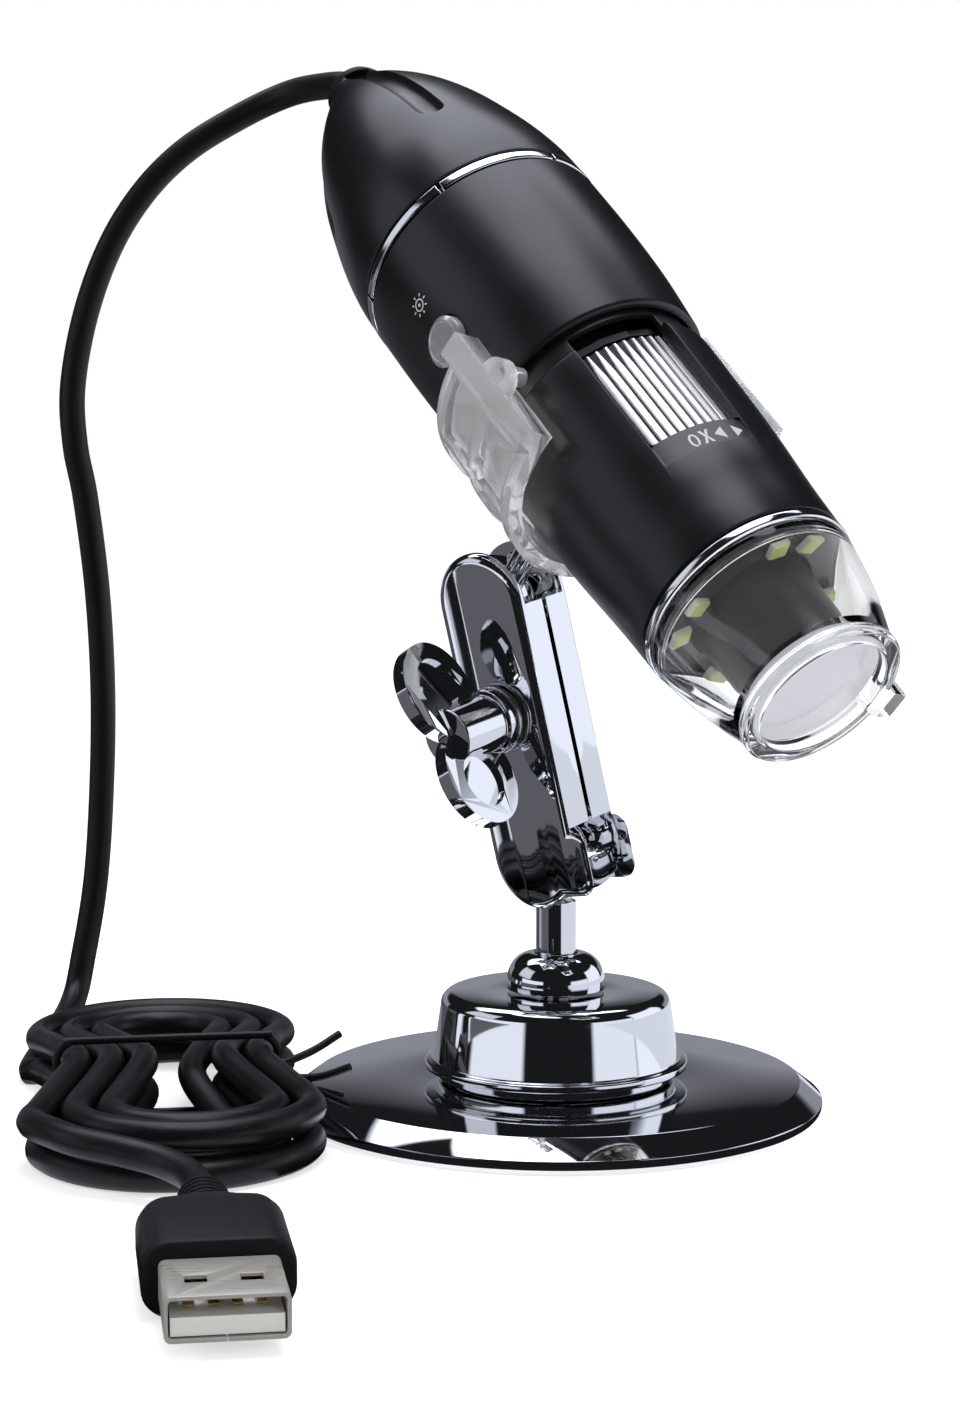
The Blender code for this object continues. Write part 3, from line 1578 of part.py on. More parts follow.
def build_barrel(look):
    """Clip and the microscope's barrel with all inside it."""
    grip = frame("clip_frame", upper_ball_place, scope_turn.to_euler())
    scope = frame("scope_frame", scope_matrix.translation, scope_turn.to_euler())
    clip(grip, look)
    nose_cone(scope, look)
    front_window(scope, look)
    lens_shroud(scope, look)
    led_board(scope, look)
    leds(scope, look)
    front_inner = spigot_radius + running_gap
    trim_ring("front_trim_ring", front_inner, front_ring_radius, front_ring_low, front_ring_high, scope, look)
    lower_housing(scope, look)
    guide_tube(scope, look)
    focus_wheel(scope, look)
    lens_carrier(scope, look)
    objective_lens(scope, look)
    lens_retainer(scope, look)
    upper_housing(scope, look)
    led_button(scope, look)
    sensor_board(scope, look)
    image_sensor(scope, look)
    main_board(scope, look)
    button_switch(scope, look)
    control_chip(scope, look)
    cable_connector(scope, look)
    rear_inner = cap_spigot_radius + running_gap
    trim_ring("rear_trim_ring", rear_inner, rear_ring_radius, rear_ring_low, rear_ring_high, scope, look)
    rear_cap(scope, look)
    cable_gland(scope, look)


def build_cord(look):
    """Cord, hank, tie and plug, all of them lying still."""
    cord = frame("cord_frame", (0, 0, 0), (0, 0, 0))
    radius = cord_diameter / 2
    tube("cord_lead", lead_points(), radius, cord_sides_level, cord, look["cord"])
    tube("cord_hank", hank_points(), radius, hank_sides_level, cord, look["cord"])
    tube("cord_plug_end", plug_end_points(), radius, cord_sides_level, cord, look["cord"])
    tube("hank_tie", tie_points(), tie_radius, hank_sides_level, cord, look["cord"])
    plug_body(cord, look)
    plug_shell(cord, look)
    plug_tongue(cord, look)
    plug_contacts(cord, look)
    routes = (lead_points(), hank_points(), plug_end_points())
    length = sum((following - point).length for route in routes for point, following in zip(route, route[1:]))
    gap = least_gap(hank_points(), cord_diameter * math.pi) - cord_diameter
    print(f"cord length {length:.4f} m, least gap in the hank {gap * 1000:.2f} mm")


clear_scene()
shared_finishes = finishes()
build_stand(shared_finishes)
build_barrel(shared_finishes)
build_cord(shared_finishes)
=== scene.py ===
import math
from contextlib import contextmanager
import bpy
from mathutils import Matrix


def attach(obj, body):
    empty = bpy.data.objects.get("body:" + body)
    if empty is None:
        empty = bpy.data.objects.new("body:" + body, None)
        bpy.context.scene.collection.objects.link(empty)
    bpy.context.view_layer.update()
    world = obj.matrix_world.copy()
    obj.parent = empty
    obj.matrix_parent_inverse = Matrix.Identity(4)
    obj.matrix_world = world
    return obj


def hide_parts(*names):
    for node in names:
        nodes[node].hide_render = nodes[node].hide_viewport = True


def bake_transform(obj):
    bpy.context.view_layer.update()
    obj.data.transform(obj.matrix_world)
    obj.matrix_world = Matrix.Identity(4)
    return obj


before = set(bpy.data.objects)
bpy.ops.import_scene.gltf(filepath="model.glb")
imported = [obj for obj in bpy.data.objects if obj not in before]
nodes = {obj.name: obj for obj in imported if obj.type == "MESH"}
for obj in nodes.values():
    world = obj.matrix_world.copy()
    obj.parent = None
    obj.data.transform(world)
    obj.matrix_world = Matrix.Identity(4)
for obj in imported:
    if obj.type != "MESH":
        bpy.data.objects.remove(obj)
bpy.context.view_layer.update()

from types import SimpleNamespace

import bmesh
import bpy
from mathutils import Euler, Matrix, Vector

print("frame loaded:", len(nodes), "solids")

# Where the moving groups stand at rest, in metres and degrees
pose = {
    "ballHeight": 0.0336, "armTurn": (7.9, 9.4, 230.0), "armSpan": 0.03275,
    "barrelHeading": 127.2, "barrelTilt": 50.6, "barrelRoll": 0.75,
    "studReach": 0.02995, "studStation": 0.0495,
}


def turned(angle, axis):
    return Matrix.Rotation(math.radians(angle), 4, axis)


def moved(x, y, z):
    return Matrix.Translation((x, y, z))


armTurn = Euler([math.radians(angle) for angle in pose["armTurn"]]).to_matrix().to_4x4()
armPlace = moved(0, 0, pose["ballHeight"]) @ armTurn
upperBall = armPlace @ Vector((0, 0, pose["armSpan"]))
leaning = turned(pose["barrelHeading"], "Z") @ turned(pose["barrelTilt"], "Y")
barrelTurn = leaning @ turned(pose["barrelRoll"], "Z")
barrelPlace = moved(*upperBall) @ barrelTurn @ moved(-pose["studReach"], 0, -pose["studStation"])
standPlace = Matrix.Identity(4)
aboutX = turned(90, "Y")
acrossArm = Matrix(((0, 0, 1, 0), (1, 0, 0, 0), (0, 1, 0, 0), (0, 0, 0, 1)))

# The camera, placed as for the photograph
shot = {"place": (-0.0097, -0.350, 0.087), "pitch": 84.35, "lens": 71.28, "sensor": 36.0, "nearest": 0.01}
cameraData = bpy.data.cameras.new("photoCamera")
cameraData.sensor_fit = "VERTICAL"
cameraData.sensor_height = shot["sensor"]
cameraData.lens = shot["lens"]
cameraData.clip_start = shot["nearest"]
camera = bpy.data.objects.new("photoCamera", cameraData)
camera.location = shot["place"]
camera.rotation_euler = (math.radians(shot["pitch"]), 0, 0)
bpy.context.scene.collection.objects.link(camera)
bpy.context.scene.camera = camera
bpy.context.scene.view_settings.view_transform = "Standard"


# Small helpers for node trees
def addNode(tree, kind, **settings):
    node = tree.nodes.new(kind)
    for key, value in settings.items():
        setattr(node, key, value)
    return node


# A socket makes a link, anything else becomes the value
def fill(tree, socket, value):
    if isinstance(value, bpy.types.NodeSocket):
        tree.links.new(value, socket)
    else:
        socket.default_value = value


# Fills a node's sockets in turn, and then by name
def feed(tree, node, *inTurn, **named):
    for socket, value in zip(node.inputs, inTurn):
        fill(tree, socket, value)
    for key, value in named.items():
        fill(tree, node.inputs[key.replace("_", " ")], value)
    return node


def maths(tree, operation, *values):
    return feed(tree, addNode(tree, "ShaderNodeMath", operation=operation), *values).outputs[0]


# Fills a new node's sockets by name and gives what comes out of it first
def output(tree, kind, **values):
    return feed(tree, addNode(tree, kind), **values).outputs[0]


def noise(tree, **values):
    return output(tree, "ShaderNodeTexNoise", **values)


def bumped(tree, height, strength, depth):
    return output(tree, "ShaderNodeBump", Height=height, Strength=strength, Distance=depth)


def ranged(tree, value, span, first=0.0, last=1.0, kind="SMOOTHSTEP"):
    node = addNode(tree, "ShaderNodeMapRange", interpolation_type=kind)
    feed(tree, node, Value=value, From_Min=span[0], From_Max=span[1], To_Min=first, To_Max=last)
    return node.outputs["Result"]


# Two numbers or two colours mixed: a Mix node keeps the sockets of each kind side by side
def blended(tree, kind, share, first, second):
    node = addNode(tree, "ShaderNodeMix", data_type=kind)
    start, result = {"FLOAT": (2, 0), "RGBA": (6, 2)}[kind]
    for index, value in ((0, share), (start, first), (start + 1, second)):
        fill(tree, node.inputs[index], value)
    return node.outputs[result]


# An empty shader group. What goes in is a number, a colour where it has four values, or else a vector
def nodeGroup(name, inputs, result):
    tree = bpy.data.node_groups.new(name, "ShaderNodeTree")
    for label, default in inputs.items():
        kind = {float: "NodeSocketFloat", tuple: "NodeSocketColor"}.get(type(default), "NodeSocketVector")
        socket = tree.interface.new_socket(name=label, in_out="INPUT", socket_type=kind)
        if default is not None:
            socket.default_value = default
    kind = "NodeSocketColor" if result == "Color" else "NodeSocketFloat"
    tree.interface.new_socket(name=result, in_out="OUTPUT", socket_type=kind)
    return tree, tree.nodes.new("NodeGroupInput").outputs, tree.nodes.new("NodeGroupOutput").inputs[result]


# Shader groups shared by the finishes
surface = {
    "grey": (0.5, 0.5, 0.5, 1), "dustTone": (0.42, 0.40, 0.38, 1), "coarseScale": 0.22,
    "patchSpan": (0.32, 0.68), "speckScale": 700.0, "speckSpan": (0.10, 0.06), "upwardSpan": (0.2, 1.0),
    "pointedSpan": (0.53, 0.62), "grainStrength": 0.6, "lineStrength": 0.5, "wornGain": 3, "wornLift": 0.02,
}


# Fine moulded or blasted grain: two noises of different size, as a height
def makeGrain():
    inputs = {"Vector": None, "Scale": 900.0, "Coarse Share": 0.35}
    tree, given, result = nodeGroup("surfaceGrain", inputs, "Height")
    fine = noise(tree, Vector=given["Vector"], Scale=given["Scale"], Detail=2.0, Roughness=0.55)
    wide = maths(tree, "MULTIPLY", given["Scale"], surface["coarseScale"])
    coarse = noise(tree, Vector=given["Vector"], Scale=wide, Detail=1.0)
    fill(tree, result, blended(tree, "FLOAT", given["Coarse Share"], fine, coarse))
    return tree


# Patches where hands have polished or smeared the surface: a value between low and high
def makeHandled():
    inputs = {"Vector": None, "Scale": 60.0, "Low": 0.3, "High": 0.4}
    tree, given, result = nodeGroup("handledPatches", inputs, "Value")
    broad = noise(tree, Vector=given["Vector"], Scale=given["Scale"], Detail=4.0, Roughness=0.6,
                  Distortion=0.4)
    fill(tree, result, ranged(tree, broad, surface["patchSpan"], given["Low"], given["High"]))
    return tree


# A colour that wanders a little between two tones, with specks of dust on what faces up
def makeTone():
    grey = surface["grey"]
    inputs = {"Vector": None, "Tone": grey, "Other Tone": grey, "Scale": 80.0, "Dust": 0.0}
    tree, given, result = nodeGroup("toneAndDust", inputs, "Color")
    wander = noise(tree, Vector=given["Vector"], Scale=given["Scale"], Detail=3.0)
    mixed = blended(tree, "RGBA", wander, given["Tone"], given["Other Tone"])
    speck = output(tree, "ShaderNodeTexVoronoi", Vector=given["Vector"], Scale=surface["speckScale"])
    small = ranged(tree, speck, surface["speckSpan"], kind="LINEAR")
    facing = addNode(tree, "ShaderNodeNewGeometry").outputs["Normal"]
    split = feed(tree, addNode(tree, "ShaderNodeSeparateXYZ"), facing)
    upward = ranged(tree, split.outputs["Z"], surface["upwardSpan"], kind="LINEAR")
    amount = maths(tree, "MULTIPLY", maths(tree, "MULTIPLY", small, upward), given["Dust"])
    fill(tree, result, blended(tree, "RGBA", amount, mixed, surface["dustTone"]))
    return tree


# Edges rubbed lighter, read from how pointed the surface is
def makeEdgeWear():
    inputs = {"Color": surface["grey"], "Worn": surface["grey"], "Amount": 0.3}
    tree, given, result = nodeGroup("edgeWear", inputs, "Color")
    pointed = addNode(tree, "ShaderNodeNewGeometry").outputs["Pointiness"]
    much = maths(tree, "MULTIPLY", ranged(tree, pointed, surface["pointedSpan"]), given["Amount"])
    fill(tree, result, blended(tree, "RGBA", much, given["Color"], given["Worn"]))
    return tree


groups = {"grain": makeGrain(), "handled": makeHandled(), "tone": makeTone(), "wear": makeEdgeWear()}


def placeGroup(tree, which, **values):
    node = addNode(tree, "ShaderNodeGroup", node_tree=groups[which])
    return feed(tree, node, **values).outputs[0]


# The finishes: tones, the range of roughness, the size and depth of the grain, and what only some have
finishes = {
    "barrelBlack": {"tone": (0.0046, 0.0048, 0.0056), "other": (0.0062, 0.0064, 0.0074),
                    "rough": (0.30, 0.36), "grain": 2600, "depth": 0.000008, "wear": 0.25, "dust": 0.03},
    "capBlack": {"tone": (0.0046, 0.0048, 0.0056), "other": (0.0062, 0.0066, 0.0076), "rough": (0.28, 0.34),
                 "grain": 2400, "depth": 0.000008, "wear": 0.25, "dust": 0.03},
    "chrome": {"tone": (0.80, 0.81, 0.83), "other": (0.76, 0.77, 0.80), "rough": (0.025, 0.06),
               "metal": 1.0, "grain": 500, "depth": 0.0000012, "smear": 45},
    "trimChrome": {"tone": (0.88, 0.88, 0.89), "other": (0.82, 0.82, 0.84), "rough": (0.08, 0.14),
                   "metal": 1.0, "grain": 900, "depth": 0.000002},
    "steel": {"tone": (0.60, 0.59, 0.57), "other": (0.52, 0.51, 0.50), "rough": (0.22, 0.34),
              "metal": 1.0, "grain": 1500, "depth": 0.000004, "stretch": (1, 12, 1)},
    "shellSteel": {"tone": (0.56, 0.545, 0.51), "other": (0.50, 0.485, 0.45), "rough": (0.26, 0.36),
                   "metal": 0.40, "grain": 1500, "depth": 0.000003, "stretch": (1, 12, 1), "smear": 160},
    "clearPlastic": {"tone": (0.93, 0.94, 0.95), "other": (0.90, 0.92, 0.93), "rough": (0.015, 0.05),
                     "clear": 1.0, "ior": 1.49, "grain": 300, "depth": 0.000003},
    "clipPlastic": {"tone": (0.90, 0.91, 0.92), "other": (0.86, 0.88, 0.90), "rough": (0.02, 0.06),
                    "clear": 0.72, "ior": 1.42, "grain": 300, "depth": 0.000003},
    "frostedWhite": {"tone": (0.74, 0.74, 0.78), "other": (0.66, 0.66, 0.71), "rough": (0.30, 0.42),
                     "grain": 1800, "depth": 0.000008, "coat": 0.5, "coatRough": 0.08, "smear": 140},
    "lensGlass": {"tone": (0.96, 0.97, 1.0), "other": (0.93, 0.95, 1.0), "rough": (0.01, 0.02),
                  "clear": 1.0, "ior": 1.52, "grain": 300, "depth": 0.000001},
    "ledYellow": {"tone": (0.60, 0.64, 0.16), "other": (0.70, 0.72, 0.26), "rough": (0.35, 0.45),
                  "grain": 3000, "depth": 0.00001, "coat": 0.4, "coatRough": 0.1},
    "ledBody": {"tone": (0.55, 0.56, 0.42), "other": (0.48, 0.49, 0.36), "rough": (0.4, 0.5),
                "grain": 2000, "depth": 0.00001},
    "boardBlack": {"tone": (0.012, 0.012, 0.014), "other": (0.030, 0.030, 0.036), "rough": (0.16, 0.30),
                   "grain": 900, "depth": 0.00003, "shine": 0.30, "smear": 260},
    "boardGreen": {"tone": (0.006, 0.060, 0.028), "other": (0.012, 0.085, 0.040), "rough": (0.25, 0.35),
                   "grain": 1200, "depth": 0.00001, "coat": 0.4, "coatRough": 0.15, "smear": 300},
    "chipBlack": {"tone": (0.018, 0.018, 0.019), "other": (0.026, 0.026, 0.027), "rough": (0.5, 0.62),
                  "grain": 2500, "depth": 0.00001},
    "darkPlastic": {"tone": (0.0045, 0.0045, 0.005), "other": (0.0070, 0.0070, 0.0078), "rough": (0.24, 0.32),
                    "grain": 1800, "depth": 0.000006, "shine": 0.14},
    "whitePlastic": {"tone": (0.72, 0.71, 0.68), "other": (0.66, 0.65, 0.62), "rough": (0.35, 0.45),
                     "grain": 1500, "depth": 0.00001},
    "wheelSilver": {"tone": (0.90, 0.90, 0.90), "other": (0.80, 0.80, 0.81), "rough": (0.26, 0.36),
                    "metal": 0.55, "grain": 1800, "depth": 0.000006},
    # The wheel's core is coloured dark as painted shade in the grooves between the silver ribs
    "wheelGrooveShade": {"tone": (0.030, 0.030, 0.032), "other": (0.016, 0.016, 0.018), "rough": (0.4, 0.5),
                  "metal": 0.6, "grain": 1800, "depth": 0.000006},
    "buttonSilver": {"tone": (0.62, 0.62, 0.63), "other": (0.54, 0.54, 0.56), "rough": (0.20, 0.30),
                     "metal": 0.7, "grain": 1600, "depth": 0.000008, "wear": 0.3},
    "rubberBlack": {"tone": (0.0048, 0.0049, 0.0054), "other": (0.0078, 0.0080, 0.0086),
                    "rough": (0.46, 0.58), "grain": 1400, "depth": 0.00002, "dust": 0.05, "shine": 0.22},
    "padBlack": {"tone": (0.020, 0.020, 0.021), "other": (0.032, 0.032, 0.033), "rough": (0.75, 0.9),
                 "grain": 1100, "depth": 0.00008, "dust": 0.2},
    "contactGold": {"tone": (0.86, 0.62, 0.24), "other": (0.78, 0.54, 0.20), "rough": (0.16, 0.26),
                    "metal": 1.0, "grain": 1600, "depth": 0.000004},
    "markWhite": {"tone": (0.60, 0.60, 0.60), "other": (0.52, 0.52, 0.53), "rough": (0.45, 0.55),
                  "grain": 2500, "depth": 0.000006},
}


def newMaterial(name):
    material = bpy.data.materials.new(name)
    material.use_nodes = True
    return material, material.node_tree, material.node_tree.nodes["Principled BSDF"]


def tonePair(look):
    return {"Tone": (*look["tone"], 1), "Other_Tone": (*look["other"], 1)}


# A Principled material whose colour, roughness and normal vary over the surface
def makeFinish(name, look):
    material, tree, shader = newMaterial(name)
    where = addNode(tree, "ShaderNodeTexCoord").outputs["Object"]
    if "stretch" in look:
        where = output(tree, "ShaderNodeMapping", Vector=where, Scale=look["stretch"])
    smear = look.get("smear", 70)
    colour = placeGroup(tree, "tone", Vector=where, Scale=smear, Dust=look.get("dust", 0.0), **tonePair(look))
    if "wear" in look:
        worn = [min(1, channel * surface["wornGain"] + surface["wornLift"]) for channel in look["tone"]]
        colour = placeGroup(tree, "wear", Color=colour, Worn=(*worn, 1), Amount=look["wear"])
    low, high = look["rough"]
    rough = placeGroup(tree, "handled", Vector=where, Scale=smear, Low=low, High=high)
    grain = placeGroup(tree, "grain", Vector=where, Scale=look["grain"])
    feed(tree, shader, Base_Color=colour, Roughness=rough,
         Normal=bumped(tree, grain, surface["grainStrength"], look["depth"]),
         Metallic=look.get("metal", 0.0), IOR=look.get("ior", 1.5),
         Transmission_Weight=look.get("clear", 0.0), Specular_IOR_Level=look.get("shine", 0.5),
         Coat_Weight=look.get("coat", 0.0), Coat_Roughness=look.get("coatRough", 0.03))
    material.diffuse_color = (*look["tone"], 1)
    return material


materials = {name: makeFinish(name, look) for name, look in finishes.items()}
cordSkin = {"tone": (0.0038, 0.0038, 0.0042), "other": (0.0065, 0.0065, 0.0070), "rough": (0.34, 0.46),
            "lines": (9.0, 60.0, 1.0), "depth": 0.00003, "shine": 0.32, "smear": 120.0, "patches": 90.0,
            "dust": 0.08}


# Smooth extruded jacket: faint lines along the cord and a slow waviness round it
def makeCordSkin():
    look = cordSkin
    material, tree, shader = newMaterial("cordBlack")
    along = addNode(tree, "ShaderNodeUVMap", uv_map="cordSkin").outputs["UV"]
    stretched = output(tree, "ShaderNodeMapping", Vector=along, Scale=look["lines"])
    lines = noise(tree, Vector=stretched, Scale=1.0, Detail=3.0)
    where = addNode(tree, "ShaderNodeTexCoord").outputs["Object"]
    tone = placeGroup(tree, "tone", Vector=where, Scale=look["smear"], Dust=look["dust"], **tonePair(look))
    low, high = look["rough"]
    rough = placeGroup(tree, "handled", Vector=where, Scale=look["patches"], Low=low, High=high)
    feed(tree, shader, Base_Color=tone, Roughness=rough,
         Normal=bumped(tree, lines, surface["lineStrength"], look["depth"]), Specular_IOR_Level=look["shine"])
    return material


materials["cordBlack"] = makeCordSkin()
print("finishes ready:", len(materials))


# Mesh helpers: a piece is built in the barrel's, the arm's or the stand's own frame, then put in its place
meshing = {
    "merge": 0.0000015, "cutMerge": 0.000002, "tiny": 1e-7, "cornerShare": 0.42, "flatWithin": 0.4,
    "ballSteps": 64, "slimEdge": 0.0002,
}


# A share from 0 to 1 that sets off and arrives gently
def eased(share):
    return share * share * (3 - 2 * share)


def arc(centre, radius, first, last, steps):
    turns = [math.radians(first + (last - first) * index / steps) for index in range(steps + 1)]
    return [(centre[0] + radius * math.cos(turn), centre[1] + radius * math.sin(turn)) for turn in turns]


# Points on a smooth curve through the given ones
def smoothRun(points, count):
    places = [Vector((*point, 0)) if len(point) == 2 else Vector(point) for point in points]
    padded = [2 * places[0] - places[1], *places, 2 * places[-1] - places[-2]]
    found = [places[0]]
    for before, start, end, after in zip(padded, padded[1:], padded[2:], padded[3:]):
        pieces = count if isinstance(count, int) else max(1, round((end - start).length / count))
        for index in range(1, pieces + 1):
            t = index / pieces
            found.append((
                2 * start + (end - before) * t + (2 * before - 5 * start + 4 * end - after) * t ** 2
                + (3 * start - before - 3 * end + after) * t ** 3
            ) / 2)
    return found if len(points[0]) == 3 else [(place.x, place.y) for place in found]


# Rounds the corners of a closed outline; corners on or left of the axis and gentle ones stay
def filleted(outline, radius, steps=4, gentle=14.0):
    made = []
    count = len(outline)
    for index, corner in enumerate(outline):
        here = Vector(corner)
        back, ahead = Vector(outline[index - 1]) - here, Vector(outline[(index + 1) % count]) - here
        tiny = min(here.x, back.length, ahead.length) < meshing["tiny"]
        if tiny or math.degrees(math.pi - back.angle(ahead)) < gentle:
            made.append(tuple(here))
            continue
        most = meshing["cornerShare"]
        reach = min(radius / math.tan(back.angle(ahead) / 2), most * back.length, most * ahead.length)
        start, end = here + back.normalized() * reach, here + ahead.normalized() * reach
        for step in range(steps + 1):
            t = step / steps
            made.append(tuple(start * (1 - t) ** 2 + here * 2 * t * (1 - t) + end * t ** 2))
    return made


def newPiece(name, bm, place, material, sharp=32.0, clean=True):
    bm.transform(place)
    if clean:
        bmesh.ops.remove_doubles(bm, verts=bm.verts, dist=meshing["merge"])
        bmesh.ops.recalc_face_normals(bm, faces=bm.faces)
    mesh = bpy.data.meshes.new(name)
    bm.to_mesh(mesh)
    bm.free()
    mesh.shade_smooth()
    mesh.set_sharp_from_angle(angle=math.radians(sharp))
    if material:
        mesh.materials.append(materials[material])
    thing = bpy.data.objects.new(name, mesh)
    bpy.context.scene.collection.objects.link(thing)
    return thing


def lathe(name, outline, place, material, steps=128, ring=True):
    bm = bmesh.new()
    points = [bm.verts.new((radius, 0, height)) for radius, height in outline]
    following = points[1:] + points[:1] if ring else points[1:]
    edges = [bm.edges.new(pair) for pair in zip(points, following)]
    bmesh.ops.spin(bm, geom=points + edges, cent=(0, 0, 0), axis=(0, 0, 1), angle=math.tau, steps=steps,
                   use_merge=True)
    return newPiece(name, bm, place, material)


# Gives a flat face a thickness: the corners of its raised side
def thickened(bm, face, thickness):
    made = bmesh.ops.extrude_face_region(bm, geom=[face])["geom"]
    raised = [item for item in made if isinstance(item, bmesh.types.BMVert)]
    bmesh.ops.translate(bm, vec=(0, 0, thickness), verts=raised)
    return raised


def prism(name, outline, low, high, place, material=None, edgeRound=0.0, segments=4):
    bm = bmesh.new()
    face = bm.faces.new([bm.verts.new((x, y, low)) for x, y in outline])
    top = set(thickened(bm, face, high - low))
    if edgeRound:
        edges = [edge for edge in bm.edges if all(vert in top for vert in edge.verts)]
        bmesh.ops.bevel(bm, geom=edges, offset=edgeRound, segments=segments, profile=0.5, affect="EDGES")
    return newPiece(name, bm, place, material)


def box(left, low, right, high):
    return [(left, low), (right, low), (right, high), (left, high)]


# A part of a ring about the barrel's axis, from one angle to another
def sector(name, inner, outer, low, high, first, last, steps, material=None):
    bm = bmesh.new()
    points = [bm.verts.new(turned(first, "Z") @ Vector((x, 0, z))) for x, z in box(inner, low, outer, high)]
    face = bm.faces.new(points)
    bmesh.ops.spin(bm, geom=[face, *face.edges, *points], cent=(0, 0, 0), axis=(0, 0, 1),
                   angle=math.radians(last - first), steps=steps)
    return newPiece(name, bm, barrelPlace, material)


# Points round an ellipse, or round the first part of it
def oval(centre, across, along, steps, last=360):
    return [(centre[0] + across * x, centre[1] + along * y) for x, y in arc((0, 0), 1, 0, last, steps)]


def rod(name, radius, low, high, place, steps=48):
    return lathe(name, box(0, low, radius, high), place, None, steps, ring=False)


def ball(name, radius, place):
    bm = bmesh.new()
    steps = meshing["ballSteps"]
    bmesh.ops.create_uvsphere(bm, u_segments=steps, v_segments=steps // 2, radius=radius)
    return newPiece(name, bm, place, None)


# A strip of faces between two closed rows of equally many points
def joinRows(bm, row, following):
    turned, turnedNext = row[1:] + row[:1], following[1:] + following[:1]
    return [bm.faces.new(corners) for corners in zip(row, turned, turnedNext, following)]


# A solid through closed rings of equally many points, closed at both ends
def skinned(name, rings, place, material=None, sharp=32.0):
    bm = bmesh.new()
    rows = [[bm.verts.new(point) for point in ring] for ring in rings]
    for row, following in zip(rows, rows[1:]):
        joinRows(bm, row, following)
    bm.faces.new(rows[0])
    bm.faces.new(rows[-1])
    return newPiece(name, bm, place, material, sharp)


# Takes what the modifiers make as the piece's own mesh
def settle(thing, sharp=32.0):
    graph = bpy.context.evaluated_depsgraph_get()
    mesh = bpy.data.meshes.new_from_object(thing.evaluated_get(graph))
    thing.modifiers.clear()
    thing.data = mesh
    mesh.shade_smooth()
    mesh.set_sharp_from_angle(angle=math.radians(sharp))
    return thing


def combined(thing, operation, tools, edge=0.0, limit=40.0, segments=3):
    for tool in tools:
        step = thing.modifiers.new(operation.lower(), "BOOLEAN")
        step.operation = operation
        step.object = tool
        step.solver = "EXACT"
    settle(thing)
    for tool in tools:
        bpy.data.objects.remove(tool, do_unlink=True)
    return softened(thing, edge, limit, segments) if edge else thing


def cut(thing, *tools, **choices):
    return combined(thing, "DIFFERENCE", tools, **choices)


def fuse(thing, *tools, **choices):
    return combined(thing, "UNION", tools, **choices)


# Opens a mesh for changes and then writes them back
@contextmanager
def edited(mesh):
    bm = bmesh.new()
    bm.from_mesh(mesh)
    yield bm
    bm.to_mesh(mesh)
    bm.free()


# Breaks the sharp edges, so that they catch the light
def softened(thing, width, limit=40.0, segments=3):
    with edited(thing.data) as bm:
        bmesh.ops.remove_doubles(bm, verts=bm.verts, dist=meshing["cutMerge"])
        bmesh.ops.dissolve_limit(bm, angle_limit=math.radians(meshing["flatWithin"]), verts=bm.verts,
                                 edges=bm.edges)
    bevel = thing.modifiers.new("edges", "BEVEL")
    bevel.width = width
    bevel.segments = segments
    bevel.limit_method = "ANGLE"
    bevel.angle_limit = math.radians(limit)
    return settle(thing, 40.0)


# A copy of a CAD node's own mesh, merged, with its edges broken
def refined(name, node, material):
    bm = bmesh.new()
    bm.from_mesh(nodes[node].data)
    return softened(newPiece(name, bm, standPlace, material), meshing["slimEdge"], 35.0)


def install(thing, body, slot, *replaced):
    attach(thing, body)
    if replaced:
        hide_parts(*replaced)
    return thing


# A turned piece that takes the place of one node
def installTurned(name, node, outline, place, finish, slot, body="scope", **choices):
    return install(lathe(name, outline, place, finish, **choices), body, slot, node)


# The cord: one line from the gland to the plug, in metres and degrees
cord = {
    "diameter": 0.0036, "lift": 0.00005, "sides": 28, "step": 0.0011, "gap": 0.0003,
    "freeRoute": (
        (-0.0318, 0.0345, 0.1330), (-0.0366, 0.0396, 0.1325), (-0.0430, 0.0415, 0.1298),
        (-0.0504, 0.0415, 0.1253), (-0.0563, 0.0415, 0.1196), (-0.0611, 0.0415, 0.1122),
        (-0.0647, 0.0415, 0.1028), (-0.0667, 0.0415, 0.0926), (-0.0665, 0.0417, 0.0845),
        (-0.0653, 0.0427, 0.0770), (-0.0640, 0.0440, 0.0640), (-0.0636, 0.0455, 0.0500),
        (-0.0642, 0.0475, 0.0360), (-0.0655, 0.0495, 0.0220), (-0.0672, 0.0480, 0.0110),
        (-0.0684, 0.0425, 0.0042),
    ),
    "hankCentre": (-0.0492, -0.0040), "hankHeading": 9.0, "hankLength": 0.0720, "loops": 3,
    "endPoints": 8, "runPoints": 4, "firstReach": 0.0078, "loopStep": 0.0042, "layerStep": 0.0041,
    "waistDraw": 0.0048, "waistReach": 0.0220, "waistLift": 0.0014,
    "plugRoute": (
        (-0.0150, 0.0294, 0.0060), (-0.0119, 0.0340, 0.0059), (-0.0073, 0.0372, 0.0055),
        (-0.0028, 0.0403, 0.0049), (0.0002, 0.0448, 0.0044),
    ),
    "plugAt": (0.0012, 0.0540), "plugHeight": 0.0080, "plugOverlap": 0.0004, "root": 0.1139,
    "shares": (0.0, 0.17, 0.34, 0.50, 0.66, 1.0), "inset": 0.06, "hankSides": 24,
}
hankPlace = moved(*cord["hankCentre"], 0) @ turned(cord["hankHeading"], "Z")
plugLift = cord["plugHeight"] / 2 + cord["lift"]
plugPlace = hankPlace @ moved(cord["plugAt"][0], -cord["plugAt"][1], plugLift) @ turned(180, "Z")


